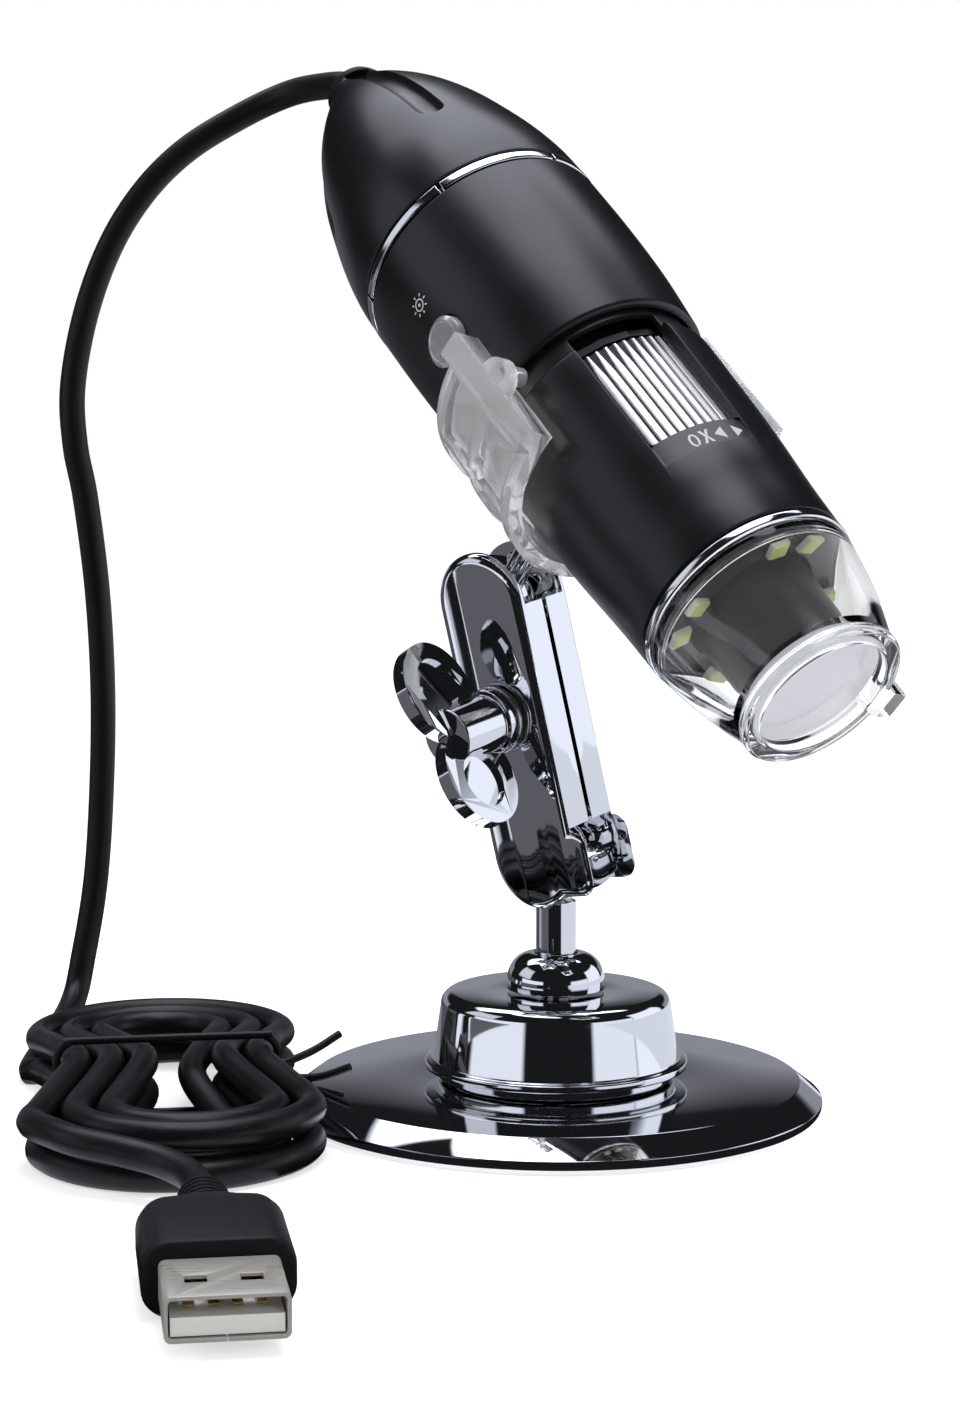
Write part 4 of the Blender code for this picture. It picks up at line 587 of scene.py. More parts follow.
# Loops that spiral inwards on the floor, climb, and spiral out again on top
def hankLine():
    halves = [cord["firstReach"] + cord["loopStep"] * index for index in range(cord["loops"])]
    inward = [(-side, side) for side in reversed(halves)]
    outward = [(-side, further) for side, further in zip(halves, halves[1:])]
    sides = [place for pair in inward + outward for place in pair] + [-halves[-1]]
    centre = cord["hankLength"] / 2 - halves[-1]
    low = cord["diameter"] / 2 + cord["lift"]
    climb = 2 * cord["loops"] - 1
    points = []
    for index, side in enumerate(sides):
        way = 1 if side < 0 else -1
        for step in range(cord["runPoints"]):
            share = step / cord["runPoints"]
            rise = eased(share) if index == climb else int(index > climb)
            points.append(Vector((side, centre * way * (1 - 2 * share), low + cord["layerStep"] * rise)))
        if index + 1 == len(sides):
            points.append(Vector((side, -centre * way, low + cord["layerStep"])))
            continue
        middle = (side + sides[index + 1]) / 2
        radius = abs(side - sides[index + 1]) / 2
        height = low + cord["layerStep"] * (1 if index >= climb else 0)
        for step in range(cord["endPoints"]):
            angle = math.pi * step / cord["endPoints"]
            reach = centre + radius * math.sin(angle)
            points.append(Vector((middle - way * radius * math.cos(angle), -way * reach, height)))
    for point in points:
        drawn = eased(max(0, 1 - abs(point.y) / cord["waistReach"]))
        point.x -= math.copysign(min(cord["waistDraw"] * drawn, abs(point.x)), point.x)
        point.z += cord["waistLift"] * drawn
    return [hankPlace @ point for point in points]


def freeLine():
    root = cord["root"] + cord["gap"]
    end = barrelPlace @ Vector((0, 0, root))
    ahead = barrelPlace @ Vector((0, 0, root + cord["diameter"]))
    before, start = hankLine()[:2]
    back = (before - start).normalized()
    landing = before + back * cord["diameter"]
    return [end, ahead, *[Vector(point) for point in cord["freeRoute"]], landing, before]


def plugLine():
    before, start = hankLine()[-2:]
    ahead = (start - before).normalized()
    end = plugPlace @ Vector((0, cord["plugOverlap"], 0))
    straight = plugPlace @ Vector((0, -cord["gap"] - cord["diameter"], 0))
    between = [hankPlace @ Vector((x, -y, z)) for x, y, z in cord["plugRoute"]]
    return [start, start + ahead * (cord["gap"] + cord["diameter"]), *between, straight, end]


# Rings of a round tube along a line, without twist, and how far along each is
def tubeRings(line, radius, sides):
    ahead = (line[1] - line[0]).normalized()
    up = ahead.orthogonal().normalized()
    rings, lengths = [], [0.0]
    for index, point in enumerate(line):
        before, after = line[max(index - 1, 0)], line[min(index + 1, len(line) - 1)]
        tangent = (after - before).normalized()
        up = (up - tangent * up.dot(tangent)).normalized()
        beside = tangent.cross(up)
        rings.append([
            point + (up * math.cos(math.tau * k / sides) + beside * math.sin(math.tau * k / sides)) * radius
            for k in range(sides)
        ])
        if index:
            lengths.append(lengths[-1] + (point - line[index - 1]).length)
    return rings, lengths


# A tube with a UV map: u runs along the cord in centimetres, v goes round it
def tubePiece(name, rings, lengths):
    bm = bmesh.new()
    skin = bm.loops.layers.uv.new("cordSkin")
    rows = [[bm.verts.new(point) for point in ring] for ring in rings]
    sides = len(rings[0])
    for row, following, here, there in zip(rows, rows[1:], lengths, lengths[1:]):
        for k, face in enumerate(joinRows(bm, row, following)):
            corners = ((here, k), (here, k + 1), (there, k + 1), (there, k))
            for loop, (along, around) in zip(face.loops, corners):
                loop[skin].uv = (along * 100, around / sides)
    bm.faces.new(rows[0][::-1])
    bm.faces.new(rows[-1])
    return newPiece(name, bm, standPlace, "cordBlack", 60.0)


def evenly(line, step):
    dense = smoothRun([tuple(point) for point in line], step / 3)
    kept, run = [dense[0]], 0.0
    for before, point in zip(dense, dense[1:]):
        run += (point - before).length
        if run >= step:
            kept.append(point)
            run = 0.0
    if (kept[-1] - dense[-1]).length < step / 2:
        kept.pop()
    return kept + [dense[-1]]


# The free stretch is five pieces end to end, cut at given shares of its length, as many as there are joints
# between the stand and the barrel
def buildFreeCord():
    line = evenly(freeLine(), cord["step"])
    rings, lengths = tubeRings(line, cord["diameter"] / 2, cord["sides"])
    bodies = ("scope", "clip", "upper_ball", "arm", "lower_ball", "base")
    marks = [min(range(len(line)), key=lambda k, share=share: abs(lengths[k] - share * lengths[-1]))
             for share in cord["shares"]]
    pieces = zip(marks, marks[1:], bodies, bodies[1:])
    for index, (first, last, near, far) in enumerate(pieces, 1):
        piece = tubePiece(f"cordFree{index}", rings[first:last + 1], lengths[first:last + 1])
        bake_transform(piece)
        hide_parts("cord_lead")
    print(f"free cord {lengths[-1]:.3f} m in {index} pieces")


# The hank and the end that runs to the plug are one piece
def buildHank():
    line = evenly([*hankLine()[:-1], *plugLine()], cord["step"])
    rings, lengths = tubeRings(line, cord["diameter"] / 2, cord["hankSides"])
    piece = tubePiece("cordHank", rings, lengths)
    install(piece, "base", "cord_black", "cord_hank", "cord_plug_end")
    print(f"hank and plug end {lengths[-1]:.3f} m")
    return piece, line, lengths[-1]


# The stand: plate, hub, collar and post
stand = {
    "plateRadius": 0.0340, "plateTop": 0.03115, "plateLow": 0.0013, "plateHigh": 0.0042, "plateFoot": 0.0003,
    "padRecess": 0.0325, "edgeLow": 0.0009, "edgeHigh": 0.0020, "screwHole": 0.0019, "screwBore": 0.0038,
    "boreHigh": 0.0027,
    "hubLow": 0.0045, "hubHigh": 0.0154, "hubNeck": 0.0151, "hubNeckTop": 0.0058, "hubFlange": 0.0168,
    "hubFlangeTop": 0.0068, "hubWall": 0.0157, "hubTop": 0.0147, "hubCorner": 0.0016, "hubShell": 0.0016,
    "collarLow": 0.0157, "collarRadius": 0.00625, "collarTop": 0.0032, "collarLip": 0.0168,
    "collarHigh": 0.0203, "postRadius": 0.00255, "postLow": 0.0157, "postHigh": 0.0271,
    "pinRadius": 0.0012, "pinHigh": 0.0313, "edge": 0.00022, "hubEdge": 0.0003, "slimEdge": 0.0002,
    "rim": 0.0006, "collarGap": 0.0002, "boltRoom": 0.006, "steps": 192, "collarSteps": 96, "postSteps": 64,
}


def buildStand():
    s = SimpleNamespace(**stand)
    plate = [
        (s.screwBore, s.plateLow), (s.padRecess, s.plateLow), (s.padRecess, s.plateFoot),
        (s.plateRadius - s.rim, s.plateFoot), (s.plateRadius, s.edgeLow),
        (s.plateRadius, s.edgeHigh), (s.plateTop, s.plateHigh), (s.screwHole, s.plateHigh),
        (s.screwHole, s.boreHigh), (s.screwBore, s.boreHigh),
    ]
    bore, roof = s.hubNeck - s.hubShell, s.hubHigh - s.hubShell
    hub = [
        (bore, s.hubLow), (s.hubNeck, s.hubLow), (s.hubNeck, s.hubNeckTop),
        (s.hubFlange, s.hubNeckTop), (s.hubFlange, s.hubFlangeTop), (s.hubWall, s.hubFlangeTop),
        *arc((s.hubTop - s.hubCorner, s.hubHigh - s.hubCorner), s.hubCorner, 0, 90, 10),
        (s.screwHole, s.hubHigh), (s.screwHole, roof), (bore - s.hubCorner, roof),
        (bore, roof - s.hubCorner),
    ]
    wide, tall = s.collarRadius - s.collarTop, s.collarHigh - s.collarLip
    hole = s.postRadius + s.collarGap
    collar = [(hole, s.collarLow), (s.collarRadius, s.collarLow),
              *oval((s.collarTop, s.collarLip), wide, tall, 16, 90), (hole, s.collarHigh)]
    boltHigh = s.postLow + s.boltRoom
    post = [
        (0, boltHigh), (s.screwHole, boltHigh), (s.screwHole, s.postLow),
        (s.postRadius, s.postLow), (s.postRadius, s.postHigh), (s.pinRadius, s.postHigh),
        (s.pinRadius, s.pinHigh), (0, s.pinHigh),
    ]
    for name, node, outline, edge, steps, ring in (
        ("standPlate", "base_plate", plate, s.edge, s.steps, True),
        ("standHub", "base_hub", hub, s.hubEdge, s.steps, True),
        ("standCollar", "base_collar", collar, s.slimEdge, s.collarSteps, True),
        ("standPost", "base_post", post, s.slimEdge, s.postSteps, False),
    ):
        installTurned(name, node, filleted(outline, edge), standPlace, "chrome", "chrome", "base",
                      steps=steps, ring=ring)
    print("stand built")


# The two balls
balls = {"radius": 0.0040, "neck": 0.0021, "drop": 0.0062, "studNeck": 0.0016, "bore": 0.0014,
         "boreLength": 0.0042, "webRadius": 0.0170, "steps": 72}


def buildBalls():
    b = SimpleNamespace(**balls)
    meeting = -math.degrees(math.acos(b.neck / b.radius))
    boreHigh = b.boreLength - b.drop
    lower = [(0, boreHigh), (b.bore, boreHigh), (b.bore, -b.drop), (b.neck, -b.drop),
             *arc((0, 0), b.radius, meeting, 90, 32)[:-1], (0, b.radius)]
    stud = math.degrees(math.acos(b.studNeck / b.radius))
    end = pose["studReach"] - b.webRadius
    upper = [(0, -b.radius), *arc((0, 0), b.radius, -90, stud, 32)[1:], (b.studNeck, end), (0, end)]
    upperPlace = barrelPlace @ moved(pose["studReach"], 0, pose["studStation"]) @ turned(-90, "Y")
    for name, node, outline, place, body in (
        ("lowerBall", "lower_ball", lower, moved(0, 0, pose["ballHeight"]), "lower_ball"),
        ("upperBall", "clip_ball", upper, upperPlace, "upper_ball"),
    ):
        installTurned(name, node, outline, place, "chrome", "chrome", body, steps=b.steps, ring=False)
    print("balls built")


# The clamp arm: two shells, bolt and washer
clampArm = {
    "width": 0.0132, "face": 0.00545, "split": 0.0008, "edgeRound": 0.0013, "crown": 0.0007,
    "socket": 0.00415, "slotReach": 0.0125, "cheekReach": 0.0021, "cheekAbove": 0.0032, "cheekBelow": 0.0052,
    "lowerSlot": (-30.0, 96.0, 0.0029, 0.0043), "upperSlot": (-20.0, 78.0, 0.00195, 0.0038),
    "boltShare": 0.565, "boltHole": 0.0021, "boltReach": 0.008, "edge": 0.00018,
    "endSteps": 40, "cheekSteps": 10, "roomSteps": 12, "roundSteps": 8, "crownCuts": 16, "withinFace": 0.999,
}


# The room that a neck sweeps through about a ball
def sweepRoom(name, centre, way, low, high, spread, half):
    reach, steps = clampArm["slotReach"], clampArm["roomSteps"]
    far = math.hypot(spread, reach)

    def towards(angle, distance):
        return distance * math.sin(math.radians(angle)), distance * way * math.cos(math.radians(angle))

    def corner(aside, ahead):
        (x, y), (further, up) = towards(aside, spread), towards(ahead, reach)
        return x + further, y + up

    between = [towards(low + (high - low) * index / steps, far) for index in range(1, steps)]
    shape = [
        towards(low - 90, spread), corner(low - 90, low), *between,
        corner(high + 90, high), towards(high + 90, spread),
    ]
    outline = [(y, z + centre) for y, z in shape]
    return prism(name, outline, -half, half, armPlace @ acrossArm)


# The outer face bows a little across its width, so that it catches light in streaks
def crowned(shell, side):
    c = SimpleNamespace(**clampArm)
    half, flat = c.width / 2, c.face - c.edgeRound * c.withinFace
    with edited(shell.data) as bm:
        for index in range(1 - c.crownCuts, c.crownCuts):
            faces = [face for face in bm.faces if all(vert.co.z * side > flat for vert in face.verts)]
            geom = {item for face in faces for item in (face, *face.edges, *face.verts)}
            at = half * index / c.crownCuts
            bmesh.ops.bisect_plane(bm, geom=list(geom), plane_co=(at, 0, 0), plane_no=(1, 0, 0))
        for vert in bm.verts:
            out = vert.co.z * side
            if out > flat:
                share = min(abs(vert.co.x) / half, 1.0)
                vert.co.z -= side * c.crown * share ** 2 * (out - flat) / (c.face - flat)
    shell.data.transform(armPlace @ acrossArm)


def buildArm():
    c = SimpleNamespace(**clampArm)
    half, span = c.width / 2, pose["armSpan"]
    lowerEnd = 360 - math.degrees(math.asin(c.cheekBelow / half))
    outline = [
        *arc((0, span), half, 0, 180, c.endSteps), *arc((0, 0), half, 180, lowerEnd, c.endSteps),
        *arc((half, c.cheekReach - c.cheekBelow), c.cheekReach, -90, 0, c.cheekSteps),
        *arc((half, c.cheekAbove - c.cheekReach), c.cheekReach, 0, 90, c.cheekSteps),
    ]
    bolt = armPlace @ moved(0, 0, span * c.boltShare) @ aboutX
    for name, side, body, node in (("armFront", 1, "clamp", "arm_front_half"),
                                   ("armRear", -1, "arm", "arm_rear_half")):
        shell = prism(name, outline, side * c.split / 2, side * c.face, standPlace, "chrome",
                      c.edgeRound, c.roundSteps)
        crowned(shell, side)
        cut(
            shell,
            ball(f"{name}Socket", c.socket, armPlace),
            ball(f"{name}TopSocket", c.socket, armPlace @ moved(0, 0, span)),
            sweepRoom(f"{name}Slot", 0, -1, *c.lowerSlot),
            sweepRoom(f"{name}TopSlot", span, 1, *c.upperSlot),
            rod(f"{name}BoltHole", c.boltHole, -c.boltReach, c.boltReach, bolt),
            edge=c.edge, limit=34.0,
        )
        install(shell, body, "chrome", node)
    install(refined("clampBoltSmooth", "clamp_bolt", "chrome"), "arm", "chrome", "clamp_bolt")
    install(refined("clampWasherSmooth", "clamp_washer", "steel"), "clamp", "steel", "clamp_washer")
    print("arm built")


# The wing nut
wings = {
    "low": 0.00695, "collarRadius": 0.0042, "collarLength": 0.0012, "bossRadius": 0.0036,
    "bossLength": 0.0086, "thickness": 0.0020, "length": 0.0064, "height": 0.0054, "spread": 0.0058,
    "lift": 0.01385, "bridgeHeight": 0.0058, "bridgeLength": 0.0046, "bridgeHalf": 0.00088,
    "bridgeRound": 0.0004, "dimple": 0.0006, "dimpleShare": 0.56, "dimpleOut": 0.0006, "past": 0.002,
    "collarRound": 0.0002, "turn": 19.4, "boreEnd": 0.01265, "boreRadius": 0.0021, "edge": 0.00045,
    "steps": 64,
}


def buildWingNut():
    w = SimpleNamespace(**wings)
    bolt = armPlace @ moved(0, 0, pose["armSpan"] * clampArm["boltShare"])
    place = bolt @ aboutX @ turned(w.turn, "Z")
    upright = place @ turned(90, "X")
    high, collarHigh = w.low + w.bossLength, w.low + w.collarLength
    outline = filleted([
        (0, w.low), (w.collarRadius, w.low), (w.collarRadius, collarHigh),
        (w.bossRadius, collarHigh), (w.bossRadius, high), (0, high),
    ], w.collarRound)
    nut = lathe("wingNut", outline, place, "chrome", w.steps, ring=False)
    bridge = box(-w.bridgeLength, high - w.bridgeHeight, w.bridgeLength, high)
    joined = [prism("bridge", filleted(bridge, w.bridgeRound), -w.bridgeHalf, w.bridgeHalf, upright)]
    hollows = []
    half, share = w.thickness / 2, w.dimpleShare
    for side in (-1, 1):
        wing = oval((side * w.spread, w.lift), w.length, w.height, w.steps)[:-1]
        joined.append(prism("wing", wing, -half, half, upright))
        middle = (side * (w.spread + w.dimpleOut), w.lift)
        dimple = oval(middle, w.length * share, w.height * share, w.steps)[:-1]
        for face in (-1, 1):
            hollows.append(prism("dimple", dimple, face * (half - w.dimple), face * (half + w.past), upright))
    fuse(nut, *joined)
    cut(nut, *hollows, rod("bore", w.boreRadius, w.low - w.past, w.boreEnd, place),
        edge=w.edge, limit=36.0, segments=5)
    install(nut, "wing_nut", "chrome", "wing_nut")
    print("wing nut built")


# The clear clip
clipShape = {
    "station": 0.0490, "length": 0.0180, "inner": 0.0161, "web": 0.0170, "outer": 0.0179, "turn": -1.0,
    "wrap": 104.8, "lipOuter": 0.0201, "lipWidth": 0.0030, "padRadius": 0.0045, "padOuter": 0.0185,
    "windowLength": 0.0058, "windowStation": 0.0041, "windows": ((24.0, 54.0), (60.0, 90.0)),
    "eyelet": 0.0026, "eyeletHole": 0.0012, "holeOut": 0.0009, "eyeletThick": 0.0014, "eyeletSink": 0.0009,
    "eyeletAside": 0.0018, "holeReach": 0.003, "studHole": 0.0018, "past": 0.002, "edge": 0.00016,
    "steps": 96, "lipSteps": 8, "windowSteps": 24,
}


def buildClip():
    c = SimpleNamespace(**clipShape)
    low, high = c.station - c.length / 2, c.station + c.length / 2
    first, last = c.turn - c.wrap, c.turn + c.wrap
    lip = math.degrees(c.lipWidth / c.outer)
    ring = sector("clipClear", c.inner, c.outer, low, high, first, last, c.steps, "clipPlastic")
    inner = (c.inner + c.web) / 2
    pad = barrelPlace @ moved(0, 0, pose["studStation"]) @ aboutX
    atLip = barrelPlace @ turned(last - lip / 2, "Z")
    eyelet = (
        atLip @ moved(c.lipOuter - c.eyeletSink, c.eyeletAside, c.station)
        @ turned(90, "Z") @ turned(90, "X")
    )
    half = c.eyeletThick / 2
    fuse(
        ring,
        rod("pad", c.padRadius, inner, c.padOuter, pad),
        sector("lip1", inner, c.lipOuter, low, high, first, first + lip, c.lipSteps),
        sector("lip2", inner, c.lipOuter, low, high, last - lip, last, c.lipSteps),
        rod("eyelet", c.eyelet, -half, half, eyelet),
    )
    holes = [
        rod("eye", c.eyeletHole, -c.holeReach, c.holeReach, eyelet @ moved(c.holeOut, 0, 0)),
        rod("studHole", c.studHole, c.inner - c.past, c.padOuter + c.past, pad),
    ]
    for start, end in c.windows:
        for side, arm in ((-1, -1), (-1, 1), (1, -1), (1, 1)):
            windowLow = c.station + side * c.windowStation - c.windowLength / 2
            ends = sorted((c.turn + arm * start, c.turn + arm * end))
            holes.append(sector("window", c.web, c.lipOuter, windowLow, windowLow + c.windowLength,
                                *ends, c.windowSteps))
    cut(ring, *holes, edge=c.edge)
    install(ring, "clip", "clear_plastic", "clip")
    print("clip built")


# The nose: clear cone, window, shroud, light board
nose = {
    "rim": 0.01015, "opening": 0.0080, "rimHeight": 0.0016, "lip": 0.0004, "root": 0.0132, "front": 0.0099,
    "height": 0.0150, "shares": ((0.0, 0.0), (0.14, 0.21), (0.51, 0.65), (1.0, 1.0)), "spigot": 0.0124,
    "spigotHigh": 0.0202, "spigotInner": 0.0116, "ledge": 0.0139, "ledgeWidth": 0.0003, "pocket": 0.0087,
    "seat": 0.0018, "shroudLow": 0.0035, "lugAngle": 279.0, "lugWidth": 0.0036, "lugReach": 0.0030,
    "lugHeight": 0.0034, "windowRadius": 0.0085, "windowLow": 0.0021, "windowHigh": 0.0032,
    "shroud": 0.0074, "shroudWall": 0.0009, "boardLow": 0.0142, "boardHigh": 0.0152, "flangeLow": 0.0155,
    "flangeHigh": 0.0165, "lugSink": 0.0007, "lugRound": 0.0005, "cupGap": 0.0002, "boardGap": 0.0003,
    "edge": 0.0003, "windowEdge": 0.0002, "shroudEdge": 0.00015, "boardEdge": 0.0001,
    "coneSteps": 144, "steps": 96,
}


def buildNose():
    n = SimpleNamespace(**nose)
    rise, spread = n.height - n.rimHeight, n.root - n.front
    side = [(n.front + spread * out, n.rimHeight + rise * up) for up, out in n.shares]
    outline = filleted([
        (n.opening, 0), (n.rim - n.lip, 0), (n.rim, n.lip), (n.rim, n.rimHeight - n.lip),
        *smoothRun(side, 6), (n.spigot, n.height), (n.spigot, n.spigotHigh),
        (n.spigotInner, n.spigotHigh), (n.spigotInner, n.ledge),
        (n.spigotInner - n.ledgeWidth, n.ledge), (n.pocket, n.shroudLow), (n.pocket, n.seat),
        (n.opening, n.seat),
    ], n.edge, 5)
    cone = lathe("noseCone", outline, barrelPlace, "clearPlastic", n.coneSteps)
    half = n.lugWidth / 2
    lug = filleted(box(n.rim - n.lugSink, -half, n.rim + n.lugReach, half), n.lugRound)
    fuse(cone, prism("lug", lug, 0, n.lugHeight, barrelPlace @ turned(n.lugAngle, "Z")))
    install(cone, "scope", "clear_plastic", "nose_cone")
    glass = filleted(box(0, n.windowLow, n.windowRadius, n.windowHigh), n.windowEdge)
    installTurned("frontWindow", "front_window", glass, barrelPlace, "frostedWhite", "frosted_white",
                  steps=n.steps, ring=False)
    tube, cup = n.shroud, n.spigotInner - n.cupGap
    inner = tube - n.shroudWall
    shroud = filleted([
        (inner, n.shroudLow), (tube, n.shroudLow), (tube, n.flangeLow), (cup, n.flangeLow),
        (cup, n.spigotHigh), (cup - n.shroudWall, n.spigotHigh), (cup - n.shroudWall, n.flangeHigh),
        (tube, n.flangeHigh), (tube, n.spigotHigh), (inner, n.spigotHigh),
    ], n.shroudEdge)
    installTurned("lensShroud", "lens_shroud", shroud, barrelPlace, "darkPlastic", "dark_plastic",
                  steps=n.steps)
    board = filleted(box(tube + n.boardGap, n.boardLow, cup, n.boardHigh), n.boardEdge)
    installTurned("lightBoard", "led_board", board, barrelPlace, "boardBlack", "board_green", steps=n.steps)
    print("nose built")


# Copies of one small piece, turned evenly about the barrel's axis
def turnedCopiesTree():
    tree = bpy.data.node_groups.new("turnedCopies", "GeometryNodeTree")
    for label, kind in (("Geometry", "Geometry"), ("Copy", "Object"), ("Finish", "Material"),
                        ("Count", "Int"), ("First Angle", "Float")):
        tree.interface.new_socket(name=label, in_out="INPUT", socket_type="NodeSocket" + kind)
    tree.interface.new_socket(name="Geometry", in_out="OUTPUT", socket_type="NodeSocketGeometry")
    given, result = tree.nodes.new("NodeGroupInput").outputs, tree.nodes.new("NodeGroupOutput")
    copy = feed(tree, addNode(tree, "GeometryNodeObjectInfo"), Object=given["Copy"]).outputs["Geometry"]
    share = maths(tree, "DIVIDE", output(tree, "GeometryNodeInputIndex"), given["Count"])
    angle = maths(tree, "MULTIPLY_ADD", share, math.tau, given["First Angle"])
    turn = output(tree, "ShaderNodeCombineXYZ", Z=angle)
    points = output(tree, "GeometryNodePoints", Count=given["Count"])
    placed = output(tree, "GeometryNodeInstanceOnPoints", Points=points, Instance=copy, Rotation=turn)
    real = output(tree, "GeometryNodeRealizeInstances", Geometry=placed)
    painted = output(tree, "GeometryNodeSetMaterial", Geometry=real, Material=given["Finish"])
    fill(tree, result.inputs[0], painted)
    return tree


copiesTree = turnedCopiesTree()


def turnedCopies(name, copy, finish, count, first):
    host = newPiece(name, bmesh.new(), standPlace, None, clean=False)
    step = host.modifiers.new("copies", "NODES")
    step.node_group = copiesTree
    chosen = {"Copy": copy, "Finish": materials[finish], "Count": count, "First Angle": math.radians(first)}
    for item in copiesTree.interface.items_tree:
        if item.item_type == "SOCKET" and item.in_out == "INPUT" and item.name in chosen:
            step[item.identifier] = chosen[item.name]
    settle(host)
    with edited(host.data) as bm:
        bm.transform(barrelPlace)
        bmesh.ops.recalc_face_normals(bm, faces=bm.faces)
    bpy.data.objects.remove(copy, do_unlink=True)
    return host


# The lights round the window, in pairs
lights = {
    "circle": 0.0097, "size": 0.0022, "thickness": 0.0007, "foot": 0.0139, "first": 72.0, "pairAngle": 26.0,
    "pairs": 4, "glow": 0.0019, "glowSink": 0.0001, "glowRise": 0.00006, "corner": 0.00025,
    "bodyEdge": 0.00025, "glowEdge": 0.00004,
}


def buildLights():
    s = SimpleNamespace(**lights)
    front = s.foot - s.thickness
    for name, finish, size, low, high, edge in (
        ("ledBodies", "ledBody", s.size, s.foot, front, s.bodyEdge),
        ("ledFaces", "ledYellow", s.glow, front + s.glowSink, front - s.glowRise, s.glowEdge),
    ):
        half = size / 2
        square = filleted(box(s.circle - half, -half, s.circle + half, half), s.corner)
        pair = prism(f"{name}Copy", square, low, high, standPlace, None, edge, 3)
        other = prism(f"{name}Other", square, low, high, turned(s.pairAngle, "Z"), None, edge, 3)
        with edited(pair.data) as bm:
            bm.from_mesh(other.data)
        bpy.data.objects.remove(other, do_unlink=True)
        made = turnedCopies(name, pair, finish, s.pairs, s.first)
        install(made, "scope", "led_yellow", *[f"led_{index}" for index in range(1, 2 * s.pairs + 1)])
    print("lights built")


# The barrel: lower housing, upper housing, two trim rings
barrel = {
    "lowerLow": 0.0167, "lowerHigh": 0.0484, "lowerFront": 0.01335, "lowerRear": 0.0147, "neck": 0.0139,
    "neckHigh": 0.0540, "lowerShares": ((0.0, 0.0), (0.20, 0.21), (0.51, 0.71), (0.90, 1.0)),
    "edgeRound": 0.0006, "spigotBore": 0.0126, "flangeLow": 0.0205, "flangeHigh": 0.0222,
    "seat": 0.0109, "hole": 0.0099, "chamber": 0.0131, "chamberLow": 0.0305,
    "window": (158.2, 24.5), "windowLow": 0.0313, "windowHigh": 0.0506, "labelLow": 0.0279,
    "labelHigh": 0.0318, "labelFloor": 0.0139, "edge": 0.00016,
    "upperLow": 0.0513, "upperHigh": 0.0782, "upperLip": 0.0152, "upperFull": 0.0163, "upperBore": 0.0142,
    "upperShares": ((0.32, 0.70), (0.65, 1.0)),
    "frontRing": (0.0126, 0.01335, 0.0153, 0.0164), "rearRing": (0.0141, 0.01635, 0.0785, 0.0798),
    "ringBreaks": (67.5, 130.0, 187.5), "breakWidth": 0.00055, "breakDepth": 0.0007, "breakPast": 0.001,
    "lowerRound": 0.0002, "upperRound": 0.00025, "ringRound": 0.00032, "holeEdge": 0.00014,
    "breakEdge": 0.00006, "past": 0.002, "beyond": 0.018, "windowSteps": 40, "steps": 160,
    "buttonAngle": 90.8, "buttonStation": 0.0620, "buttonHole": 0.0033, "buttonReach": (0.0128, 0.0184),
}
buttonPlace = barrelPlace @ turned(barrel["buttonAngle"], "Z") @ moved(0, 0, barrel["buttonStation"]) @ aboutX


# The window for the wheel and the recess for the dial's marks are cut into it
def buildLowerHousing():
    b = SimpleNamespace(**barrel)
    spread, length = b.lowerRear - b.lowerFront, b.lowerHigh - b.lowerLow
    side = [(b.lowerFront + spread * out, b.lowerLow + length * up) for up, out in b.lowerShares]
    side += [(b.lowerRear, b.lowerHigh - b.edgeRound)]
    rounded = arc((b.lowerRear - b.edgeRound, b.lowerHigh - b.edgeRound), b.edgeRound, 0, 90, 6)
    outline = filleted([
        (b.spigotBore, b.lowerLow), *smoothRun(side, 6), *rounded[1:], (b.neck, b.lowerHigh),
        (b.neck, b.neckHigh), (b.chamber, b.neckHigh), (b.chamber, b.chamberLow),
        (b.seat, b.chamberLow), (b.seat, b.flangeHigh), (b.hole, b.flangeHigh),
        (b.hole, b.flangeLow), (b.spigotBore, b.flangeLow),
    ], b.lowerRound, gentle=20.0)
    housing = lathe("lowerHousing", outline, barrelPlace, "barrelBlack", b.steps)
    ends = (b.window[0] - b.window[1], b.window[0] + b.window[1])
    cut(housing, *[
        sector(name, floor, b.beyond, low, high, *ends, b.windowSteps) for name, floor, low, high in (
            ("window", b.chamber - b.past, b.windowLow, b.windowHigh),
            ("recess", b.labelFloor, b.labelLow, b.labelHigh),
        )
    ], edge=b.edge, limit=36.0)
    install(housing, "scope", "satin_black", "lower_housing")


def buildUpperHousing():
    b = SimpleNamespace(**barrel)
    spread, length = b.upperFull - b.upperLip, b.upperHigh - b.upperLow
    side = [(b.upperLip, b.upperLow + b.edgeRound)]
    side += [(b.upperLip + spread * out, b.upperLow + length * up) for up, out in b.upperShares]
    side += [(b.upperFull, b.upperHigh)]
    lip = arc((b.upperLip - b.edgeRound, b.upperLow + b.edgeRound), b.edgeRound, -90, 0, 6)
    outline = filleted([
        (b.upperBore, b.upperLow), *lip[:-1], *smoothRun(side, 6), (b.upperBore, b.upperHigh),
    ], b.upperRound, gentle=20.0)
    housing = lathe("upperHousing", outline, barrelPlace, "barrelBlack", b.steps)
    hole = rod("buttonHole", b.buttonHole, *b.buttonReach, buttonPlace, 64)
    cut(housing, hole, edge=b.holeEdge, limit=36.0)
    install(housing, "scope", "satin_black", "upper_housing")


